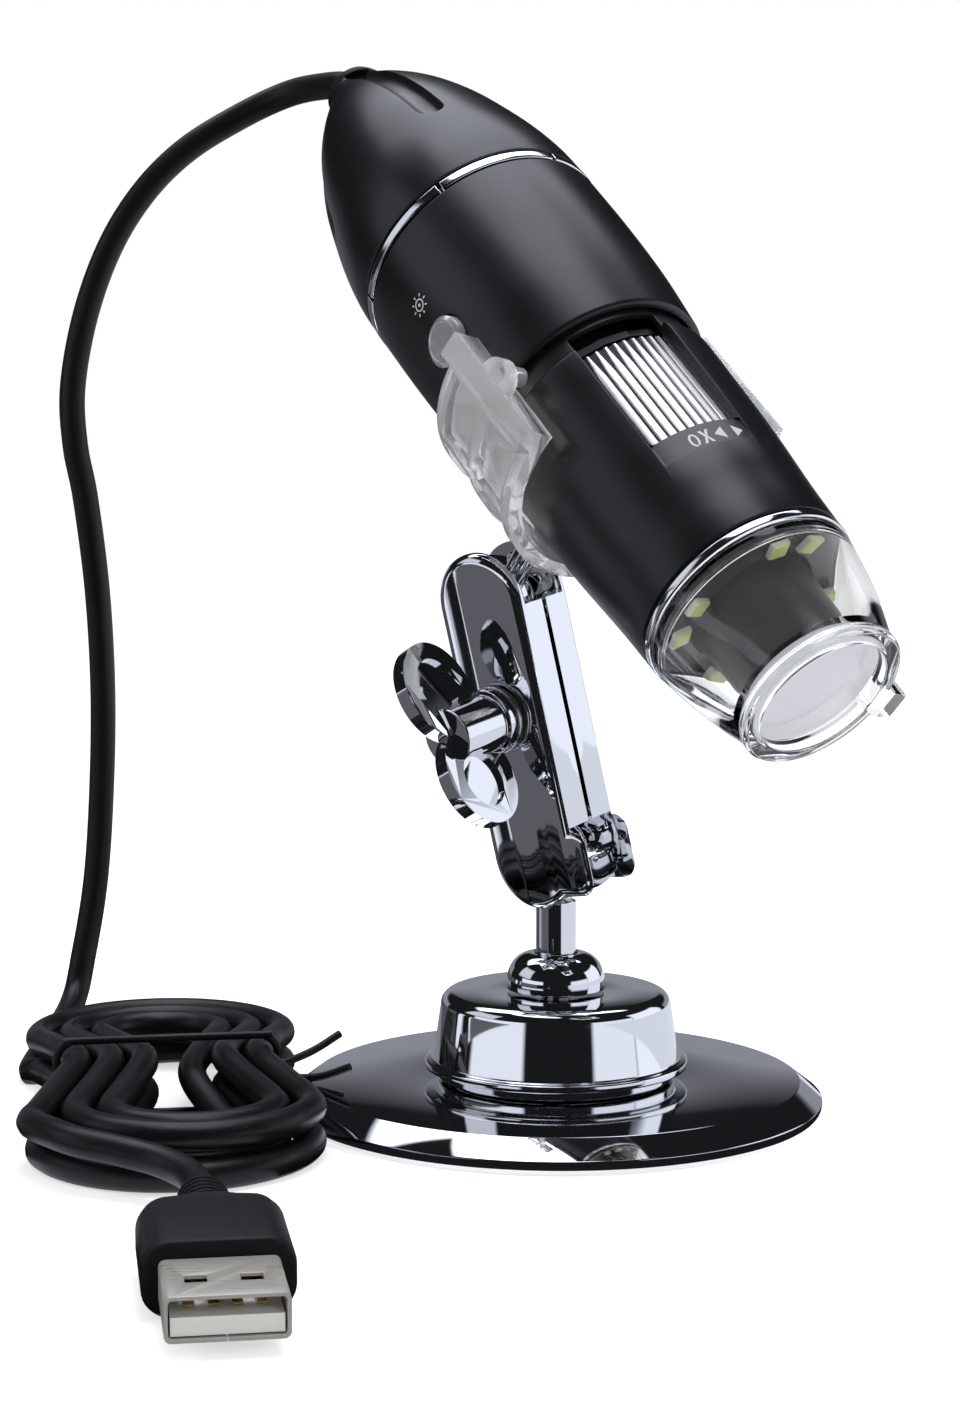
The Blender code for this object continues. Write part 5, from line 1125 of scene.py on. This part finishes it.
def buildRings():
    b = SimpleNamespace(**barrel)
    for name, node, breaks in (("frontRing", "front_trim_ring", ()),
                               ("rearRing", "rear_trim_ring", b.ringBreaks)):
        inner, outer, low, high = barrel[name]
        outline = filleted(box(inner, low, outer, high), b.ringRound, 6)
        ring = lathe(f"{name}Chrome", outline, barrelPlace, "trimChrome", b.steps)
        if breaks:
            half = math.degrees(b.breakWidth / outer) / 2
            cut(ring, *[
                sector("break", outer - b.breakDepth, b.beyond, low - b.breakPast, high + b.breakPast,
                       angle - half, angle + half, 2)
                for angle in breaks
            ], edge=b.breakEdge, limit=36.0)
        install(ring, "scope", "chrome", node)


def buildBarrel():
    buildLowerHousing()
    buildUpperHousing()
    buildRings()
    print("barrel built")


# The focus wheel: silver ribs on a core coloured dark, painted shade in the narrow grooves between the ribs
wheel = {
    "inner": 0.01095, "core": 0.01255, "low": 0.0308, "high": 0.0480, "ribs": 66, "firstRib": 1.2,
    "radius": 0.0129, "ribWidth": 0.00094, "ribFoot": 0.0124, "endRound": 0.0003, "taper": 0.0042,
    "tip": 0.32, "crest": 0.72, "crestSink": 0.00003, "shoulderSink": 0.00016, "coreRound": 0.0002,
    "steps": 132,
}


def buildWheel():
    w = SimpleNamespace(**wheel)
    core = filleted(box(w.inner, w.low, w.core, w.high), w.coreRound)
    # The core's dark finish is painted shade in the grooves between the ribs
    installTurned("wheelCore", "focus_wheel", core, barrelPlace, "wheelGrooveShade", "silver_white", "focus_wheel",
                  steps=w.steps)
    half, top, crest = w.ribWidth / 2, w.radius - w.shoulderSink, w.radius - w.crestSink
    across = [(w.ribFoot, -half), (top, -half), (crest, -half * w.crest), (w.radius, 0),
              (crest, half * w.crest), (top, half), (w.ribFoot, half)]
    rings = [
        [Vector((max(x - sink, w.ribFoot), y * share, height)) for x, y in across]
        for height, sink, share in (
            (w.low, w.endRound, 1.0), (w.low + w.endRound, 0.0, 1.0),
            (w.high - w.taper, 0.0, 1.0), (w.high - w.endRound, 0.0, w.tip),
            (w.high, w.endRound, w.tip),
        )
    ]
    rib = skinned("ribCopy", rings, standPlace, None, 50.0)
    ribs = turnedCopies("wheelRibs", rib, "wheelSilver", w.ribs, w.firstRib)
    install(ribs, "focus_wheel", "silver_white", "focus_wheel")
    print("wheel built")


# The light button
button = {
    "radius": 0.0031, "flange": 0.0040, "inner": 0.01273, "outer": 0.01343, "top": 0.0170, "dome": 0.0004,
    "flat": 0.00245, "sink": 0.00006, "brim": (0.00012, 0.00002, 0.00014), "edge": 0.0001, "steps": 72,
}


def buildButton():
    b = SimpleNamespace(**button)
    brim, lip, floor = b.brim
    outline = filleted([
        (0, b.inner), (b.flange, b.inner), (b.flange, b.outer), (b.radius, b.outer),
        (b.radius, b.top - b.dome), (b.flat + brim, b.top), (b.flat - lip, b.top),
        (b.flat - floor, b.top - b.sink), (0, b.top - b.sink),
    ], b.edge)
    installTurned("lightButton", "led_button", outline, buttonPlace, "buttonSilver", "button_grey",
                  "led_button", steps=b.steps, ring=False)


# The plain marks. Their shapes are in millimetres: x runs round the barrel, y along it
marks = {
    "thickness": 0.00003, "sunk": 0.000005, "step": 0.0003,
    "sunRing": (0.80, 0.80, 0.17), "sunDot": 0.22, "rays": (1.05, 1.42, 0.09), "rayEvery": 45,
    "sunAngle": 91.0, "sunStation": 0.0690,
    "zeroRing": (0.60, 1.02, 0.28), "times": (0.66, 1.02, 0.20), "timesWaist": (0.17, 0.26),
    "arrow": (0.68, 0.62, 0.95), "dialAngles": (152.6, 159.0, 166.2, 177.0), "dialStation": 0.02925,
}


# A flat mark, bent round the barrel
def mark(name, shapes, radius, angle, station):
    m = SimpleNamespace(**marks)
    bm = bmesh.new()
    for shape in shapes:
        thickened(bm, bm.faces.new([bm.verts.new((x / 1000, y / 1000, 0)) for x, y in shape]), m.thickness)
    count = int(max(abs(vert.co.x) for vert in bm.verts) / m.step)
    for index in range(-count, count + 1):
        geom = [*bm.verts, *bm.edges, *bm.faces]
        bmesh.ops.bisect_plane(bm, geom=geom, plane_co=(index * m.step, 0, 0), plane_no=(1, 0, 0))
    for vert in bm.verts:
        turn = math.radians(angle) + vert.co.x / radius
        out = radius + vert.co.z - m.sunk
        vert.co = Vector((out * math.cos(turn), out * math.sin(turn), station + vert.co.y))
    return install(newPiece(name, bm, barrelPlace, "markWhite", 40.0), "scope", "white_plastic")


def ringShapes(across, along, width, steps=24):
    outer, inner = oval((0, 0), across, along, steps), oval((0, 0), across - width, along - width, steps)
    return [[outer[k], outer[k + 1], inner[k + 1], inner[k]] for k in range(steps)]


def buildMarks():
    m = SimpleNamespace(**marks)
    shapes = [*ringShapes(*m.sunRing), arc((0, 0), m.sunDot, 0, 360, 16)[:-1]]
    near, far, half = m.rays
    for turn in range(0, 360, m.rayEvery):
        along = Vector((math.cos(math.radians(turn)), math.sin(math.radians(turn))))
        beside = Vector((-along.y, along.x)) * half
        shapes.append([tuple(along * near - beside), tuple(along * far - beside), tuple(along * far + beside),
                       tuple(along * near + beside)])
    mark("sunMark", shapes, barrel["upperFull"], m.sunAngle, m.sunStation)
    wide, tall, thick = m.times
    waist, notch = m.timesWaist
    slim = wide - 2 * thick
    cross = [(-wide, -tall), (-slim, -tall), (0, -notch), (slim, -tall), (wide, -tall), (waist, 0),
             (wide, tall), (slim, tall), (0, notch), (-slim, tall), (-wide, tall), (-waist, 0)]
    tip, back, side = m.arrow
    dial = (("dialZero", ringShapes(*m.zeroRing)), ("dialTimes", [cross]),
            ("dialLess", [[(-tip, 0), (back, -side), (back, side)]]),
            ("dialMore", [[(tip, 0), (-back, side), (-back, -side)]]))
    for (name, shapes), angle in zip(dial, m.dialAngles):
        mark(name, shapes, barrel["labelFloor"], angle, m.dialStation)
    print("button and marks built")


# The rear cap and the cable gland
cap = {
    "low": 0.0801, "length": 0.0354, "full": 0.0163, "wall": 0.0026, "end": 0.0043, "hole": 0.0033,
    "spigot": 0.0139, "spigotLow": 0.0763, "spigotInner": 0.0129,
    "shares": ((0.0, 1.0), (0.11, 0.990), (0.24, 0.951), (0.38, 0.883), (0.52, 0.800), (0.65, 0.695),
               (0.76, 0.580), (0.86, 0.450), (0.935, 0.335), (0.98, 0.275)),
    "flutes": 4, "fluteFirst": 62.0, "fluteRadius": 0.0020, "fluteDepth": 0.0013, "fluteFrom": 3,
    "fluteStarts": ((0.95, 0.31), (0.70, 0.71), (0.38, 0.92)), "fluteSides": 36, "flutePast": 0.002,
    "hollowShares": (2, 8), "outlineEdge": 0.00022, "edge": 0.00022, "steps": 160,
}
gland = {
    "outline": (
        (0, 0.1129), (0.0030, 0.1129), (0.0030, 0.1158), (0.0040, 0.1158), (0.0040, 0.1164), (0.0036, 0.1164),
        (0.0036, 0.1171), (0.0023, 0.1176), (0.0021, 0.1164), (0.0021, 0.1139), (0, 0.1139),
    ),
    "edge": 0.00018, "steps": 64,
}


def fluteRings(side):
    c = SimpleNamespace(**cap)
    path = [Vector((radius, 0, height)) for radius, height in smoothRun(side[c.fluteFrom:], 4)]
    first, last = (path[1] - path[0]).normalized(), (path[-1] - path[-2]).normalized()
    stations = [(path[0] - first * c.fluteRadius * back, first, c.fluteRadius * size)
                for back, size in c.fluteStarts]
    stations.append((path[0], first, c.fluteRadius))
    for before, place, after in zip(path, path[1:], path[2:]):
        stations.append((place, (after - before).normalized(), c.fluteRadius))
    stations.append((path[-1] + last * c.flutePast, last, c.fluteRadius))
    rings = []
    for place, ahead, radius in stations:
        outward = Vector((ahead.z, 0, -ahead.x))
        beside = ahead.cross(outward)
        centre = place + outward * (c.fluteRadius - c.fluteDepth)
        turns = [math.tau * index / c.fluteSides for index in range(c.fluteSides)]
        rings.append([
            centre + (outward * math.cos(turn) + beside * math.sin(turn)) * radius for turn in turns
        ])
    return rings


def buildCap():
    c = SimpleNamespace(**cap)
    side = [(c.full * out, c.low + c.length * up) for up, out in c.shares]
    high = c.low + c.length
    hollow = [(radius - c.wall, height) for radius, height in reversed(side[slice(*c.hollowShares)])]
    outline = filleted([
        *smoothRun([*side, (c.end, high)], 5), (c.hole, high), (c.hole, high - c.wall), *hollow,
        (c.spigotInner, c.low), (c.spigotInner, c.spigotLow), (c.spigot, c.spigotLow),
        (c.spigot, c.low),
    ], c.outlineEdge, gentle=24.0)
    shell = lathe("rearCap", outline, barrelPlace, "capBlack", c.steps)
    flutes = [
        skinned("flute", fluteRings(side), barrelPlace @ turned(c.fluteFirst + 360 / c.flutes * index, "Z"))
        for index in range(c.flutes)
    ]
    cut(shell, *flutes, edge=c.edge, limit=24.0)
    install(shell, "scope", "satin_black", "rear_cap")
    outline = filleted(gland["outline"], gland["edge"])
    installTurned("cableGland", "cable_gland", outline, barrelPlace, "rubberBlack", "gland_rubber",
                  steps=gland["steps"], ring=False)
    print("cap and gland built")


# The plug and the tie
plug = {
    "neckLength": 0.0075, "neckRadius": 0.0029, "grooves": 5, "grooveDepth": 0.0005, "width": 0.0154,
    "height": 0.0080, "length": 0.0205, "shoulder": 0.0050, "edgeRound": 0.0009, "corner": 0.0030,
    "shellWidth": 0.0120, "shellHeight": 0.0045, "shellLength": 0.0120, "shellWall": 0.0004,
    "shellCorner": 0.0007, "hole": 0.0022, "holeSpread": 0.0027, "holeBack": 0.0055, "holeRound": 0.0002,
    "neckTip": (0.0004, 0.0003), "neckPast": 0.0012, "grooveLip": 0.0002, "grooveShares": (0.55, 0.42),
    "neckRound": 0.00012, "gripEdge": 0.0003, "shellGap": 0.0003, "innerCorner": 0.0004, "past": 0.001,
    "toolReach": 0.004, "seamHalf": 0.00006, "seamLow": 0.0001, "seamHigh": -0.0005, "shellEdge": 0.00008,
}
tie = {"radius": 0.0005, "tail": 0.0085, "corner": 0.0026, "halfPitch": 0.0008, "step": 0.0005, "sides": 12,
       "tails": ((0.22, 0.10, 0.02), (0.60, 0.40, 0.10), (1.0, 0.62, 0.28))}


# The plug lies along the hank: Y runs to its tip, so a prism is turned from Z to Y
plugTurn = plugPlace @ turned(-90, "X")


def roundedRing(halfWidth, halfHeight, corner, steps=8):
    points = []
    corner = min(corner, halfWidth * 0.99, halfHeight * 0.99)
    for index, (x, z) in enumerate(((1, 1), (-1, 1), (-1, -1), (1, -1))):
        centre = (x * (halfWidth - corner), z * (halfHeight - corner))
        points += arc(centre, corner, 90 * index, 90 * index + 90, steps)
    return points


# The ribbed sleeve between the cord and the grip
def buildPlugNeck():
    p = SimpleNamespace(**plug)
    neck, tip = p.neckRadius, p.neckTip
    pitch = p.neckLength / (p.grooves + 0.5)
    offset, share = p.grooveShares
    outline = [(0, 0), (neck - tip[0], 0), (neck, tip[1])]
    for index in range(p.grooves):
        start = (index + offset) * pitch
        stop = start + share * pitch
        outline += [(neck, start), (neck - p.grooveDepth, start + p.grooveLip), (neck - p.grooveDepth, stop),
                    (neck, stop + p.grooveLip)]
    end = p.neckLength + p.neckPast
    outline = filleted([*outline, (neck, end), (0, end)], p.neckRound)
    return lathe("plugNeck", outline, plugTurn, "rubberBlack", 48, ring=False)


# The grip goes from the round neck to its full rounded box: how far along, half its width and height
def buildGrip():
    p = SimpleNamespace(**plug)
    wide, tall, neck, edge = p.width / 2, p.height / 2, p.neckRadius, p.edgeRound
    low, end = p.neckLength, p.neckLength + p.length
    back = low + p.shoulder
    stations = (
        (low, neck, neck, neck), (low + 0.0005, neck + 0.0012, neck + 0.0003, neck),
        (low + 0.0022, wide * 0.72, tall * 0.86, p.corner),
        (back - 0.0006, wide * 0.96, tall * 0.985, p.corner), (back + 0.0008, wide, tall, p.corner),
        (end - edge, wide, tall, p.corner),
        (end - 0.3 * edge, wide - 0.25 * edge, tall - 0.25 * edge, p.corner),
        (end, wide - edge, tall - edge, p.corner),
    )
    rings = [[Vector((x, along, z)) for x, z in roundedRing(halfWidth, halfHeight, corner)]
             for along, halfWidth, halfHeight, corner in stations]
    return softened(skinned("plugGrip", rings, plugPlace, "rubberBlack", 28.0), p.gripEdge, 26.0)


# The steel shell: its hollow, the two square holes and the seam are cut out of it
def buildShell():
    p = SimpleNamespace(**plug)
    low = p.neckLength + p.length + p.shellGap
    high = low + p.shellLength
    halfWidth, halfHeight, wall = p.shellWidth / 2, p.shellHeight / 2, p.shellWall
    outer = roundedRing(halfWidth, halfHeight, p.shellCorner)
    shell = prism("plugShell", outer, low, high, plugTurn, "shellSteel")
    inner = roundedRing(halfWidth - wall, halfHeight - wall, p.innerCorner)
    tools = [prism("inside", inner, low - p.past, high + p.past, plugTurn)]
    half, holeAt = p.hole / 2, high - p.holeBack
    for middle in (-p.holeSpread, p.holeSpread):
        square = filleted(box(middle - half, holeAt - half, middle + half, holeAt + half), p.holeRound)
        tools.append(prism("hole", square, -p.toolReach, p.toolReach, plugPlace))
    seam = box(-p.seamHalf, low + p.seamLow, p.seamHalf, high + p.past)
    tools.append(prism("seam", seam, -p.toolReach, p.seamHigh, plugPlace))
    return cut(shell, *tools, edge=p.shellEdge, limit=36.0, segments=2)


def buildPlug():
    made = [
        install(buildPlugNeck(), "base", "cord_black", "plug_body"),
        install(buildGrip(), "base", "cord_black", "plug_body"),
        install(buildShell(), "base", "steel", "plug_shell"),
    ]
    print("plug built")
    return made


def buildTie():
    t = SimpleNamespace(**tie)
    side = cord["firstReach"] + cord["loopStep"] * (cord["loops"] - 1) - cord["waistDraw"]
    low = cord["diameter"] / 2 + cord["lift"] + cord["waistLift"]
    high = low + cord["layerStep"]
    ring = [*arc((side, low), t.corner, 0, -90, 6), *arc((-side, low), t.corner, -90, -180, 6),
            *arc((-side, high), t.corner, 180, 90, 6), *arc((side, high), t.corner, 90, 0, 6)]
    count = len(ring) - 1
    points = [Vector((x, t.halfPitch * (2 * k / count - 1), z)) for k, (x, z) in enumerate(ring)]
    middle = (low + high) / 2
    first = Vector((side + t.corner, -t.halfPitch, middle - t.halfPitch))
    last = Vector((side + t.corner, t.halfPitch, middle + t.halfPitch))
    tail = [first + t.tail * Vector((out, -along, up)) for out, along, up in t.tails]
    other = [last + t.tail * Vector((out, along, up)) for out, along, up in t.tails]
    line = evenly([hankPlace @ point for point in (*reversed(tail), first, *points, last, *other)], t.step)
    rings, lengths = tubeRings(line, t.radius, t.sides)
    piece = tubePiece("cordTie", rings, lengths)
    print("tie built")
    return install(piece, "base", "cord_black", "hank_tie")


# Everything is built here, the cord first
buildFreeCord()
hank, hankRoute, hankRun = buildHank()
onCord = [*buildPlug(), buildTie(), "plug_tongue", "plug_contacts"]
buildStand()
buildBalls()
buildArm()
buildWingNut()
buildClip()
buildNose()
buildLights()
buildBarrel()
buildWheel()
buildButton()
buildMarks()
buildCap()

# CAD solids that stay as they are get their finish here
kept = {
    "base_pad": "padBlack", "base_screw": "steel", "guide_tube": "darkPlastic", "lens_carrier": "darkPlastic",
    "objective_lens": "lensGlass", "lens_retainer": "darkPlastic", "sensor_board": "boardGreen",
    "main_board": "boardGreen", "image_sensor": "chipBlack", "control_chip": "chipBlack",
    "button_switch": "chipBlack", "cable_connector": "whitePlastic", "plug_tongue": "whitePlastic",
    "plug_contacts": "contactGold",
}
for node, finish in kept.items():
    for slot in nodes[node].material_slots:
        slot.material = materials[finish]
print("finishes given to", len(kept), "CAD solids")


# Floor, backdrop and lamps
studio = {
    "floor": 1.6, "floorTone": (0.90, 0.90, 0.90), "floorRough": 0.9, "floorShine": 0.1, "floorShown": 0.56,
    "shownWhite": 1.0, "skyLight": 0.48, "aim": (-0.01, 0, 0.07),
    "key": {"place": (0.12, 0.06, 1.0), "size": 0.55, "power": 5.0, "tone": (0.96, 0.98, 1.0)},
    "side": {"place": (-0.85, -0.15, 0.40), "size": 0.45, "power": 1.5, "tone": (1.0, 0.99, 0.96)},
    "front": {"place": (0.45, -0.80, 0.45), "size": 0.50, "power": 2.0, "tone": (1.0, 1.0, 1.0)},
}
# What mirror-like reflections see round the set: dark cloth with bright panels, each from and to an azimuth
# (0 at the front, to the right positive) and an elevation in degrees, with its tone. The mat on the floor is
# three rings, each with an outer and an inner radius and panels of its own
tent = {
    "radius": 1.15, "step": 2, "dark": 0.012, "soft": 2.0, "tint": (0.93, 0.97, 1.08),
    "panels": (
        (-181, 60, 67, 91, 3.4), (60, 181, 75, 91, 3.4), (-181, -112, 46, 68, 2.6), (128, 181, 52, 76, 2.6),
        (-104, -66, 14, 42, 0.75),
        (-88, -32, -4, 11, 1.0), (34, 80, -4, 12, 1.0), (80, 126, -4, 31.5, 1.1),
        (135, 181, -2, 13.7, 0.30), (-181, -135, -2, 13.7, 0.30),
    ),
    "mat": 0.0007, "matSoft": 1.0,
    "matZones": (
        (1.127, 0.079, ((28, 181, 0.85), (-109, -102, 1.0), (-93.5, -90.5, 1.0), (-90.5, -45, 0.13),
                        (-181, -114, 0.10))),
        (0.078, 0.049, ((28, 181, 0.85), (-66, -28, 0.85), (-181, -112, 0.25))),
        (0.048, 0.0345, ()),
    ),
}


# What the camera sees, also in a mirror or through something clear
def seenDirectly(tree):
    path = addNode(tree, "ShaderNodeLightPath").outputs
    seen = maths(tree, "MAXIMUM", path["Is Camera Ray"], path["Is Glossy Ray"])
    return maths(tree, "MAXIMUM", seen, path["Is Transmission Ray"])


def buildFloor():
    bm = bmesh.new()
    bmesh.ops.create_grid(bm, x_segments=24, y_segments=24, size=studio["floor"])
    floor = newPiece("studioFloor", bm, standPlace, None, clean=False)
    material, tree, shader = newMaterial("floorPaper")
    feed(tree, shader, Base_Color=(*studio["floorTone"], 1), Roughness=studio["floorRough"],
         Specular_IOR_Level=studio["floorShine"], Emission_Color=(1, 1, 1, 1),
         Emission_Strength=maths(tree, "MULTIPLY", seenDirectly(tree), studio["floorShown"]))
    floor.data.materials.append(material)


def buildWorld():
    world = bpy.data.worlds.new("studio")
    bpy.context.scene.world = world
    world.use_nodes = True
    tree = world.node_tree
    strength = blended(tree, "FLOAT", seenDirectly(tree), studio["skyLight"], studio["shownWhite"])
    feed(tree, tree.nodes["Background"], Color=(1, 1, 1, 1), Strength=strength)


# How far a value lies inside a range, with a soft border
def within(value, low, high, soft):
    share = min((value - low) / soft + 0.5, (high - value) / soft + 0.5)
    return min(max(share, 0.0), 1.0)


# A tent round the set and a mat on the floor, which only mirror-like reflections see
def buildTent():
    t = SimpleNamespace(**tent)
    bm = bmesh.new()
    tones = bm.verts.layers.float_color.new("tone")
    rings = []
    for elevation in range(0, 91, t.step):
        up = math.radians(elevation)
        panels = [(left, right, within(elevation, low, high, t.soft), bright)
                  for left, right, low, high, bright in t.panels]
        rings.append((t.radius * math.cos(up), t.radius * math.sin(up) + t.mat, t.soft, panels))
    dome = len(rings)
    for outer, inner, zones in t.matZones:
        panels = [(left, right, 1.0, bright) for left, right, bright in zones]
        rings += [(outer, t.mat, t.matSoft, panels), (inner, t.mat, t.matSoft, panels)]
    rows = []
    for flat, height, soft, panels in rings:
        rows.append([])
        for azimuth in range(-180, 180, t.step):
            around = math.radians(azimuth)
            vert = bm.verts.new((flat * math.sin(around), -flat * math.cos(around), height))
            tone = max([t.dark, *[
                t.dark + (bright - t.dark) * (within(azimuth, left, right, soft) * share)
                for left, right, share, bright in panels
            ]])
            vert[tones] = (*[tone * channel for channel in t.tint], 1)
            rows[-1].append(vert)
    for index in range(1, len(rows)):
        if index != dome:
            joinRows(bm, rows[index - 1], rows[index])
    cloth = newPiece("studioTent", bm, standPlace, None, clean=False)
    material, tree, shader = newMaterial("tentCloth")
    tree.nodes.remove(shader)
    tone = addNode(tree, "ShaderNodeAttribute", attribute_name="tone").outputs["Color"]
    feed(tree, tree.nodes["Material Output"], Surface=output(tree, "ShaderNodeEmission", Color=tone))
    cloth.data.materials.append(material)
    cloth.visible_camera = False
    cloth.visible_diffuse = False
    cloth.visible_transmission = False
    cloth.visible_shadow = False


def buildLamps():
    for name in ("key", "side", "front"):
        s = SimpleNamespace(**studio[name])
        data = bpy.data.lights.new(name + "Lamp", "AREA")
        data.shape, data.size, data.energy, data.color = "DISK", s.size, s.power, s.tone
        lamp = bpy.data.objects.new(name + "Lamp", data)
        lamp.visible_glossy = False
        lamp.location = s.place
        lamp.rotation_euler = (Vector(studio["aim"]) - Vector(s.place)).to_track_quat("-Z", "Y").to_euler()
        bpy.context.scene.collection.objects.link(lamp)


buildFloor()
buildWorld()
buildTent()
buildLamps()
print("studio built")
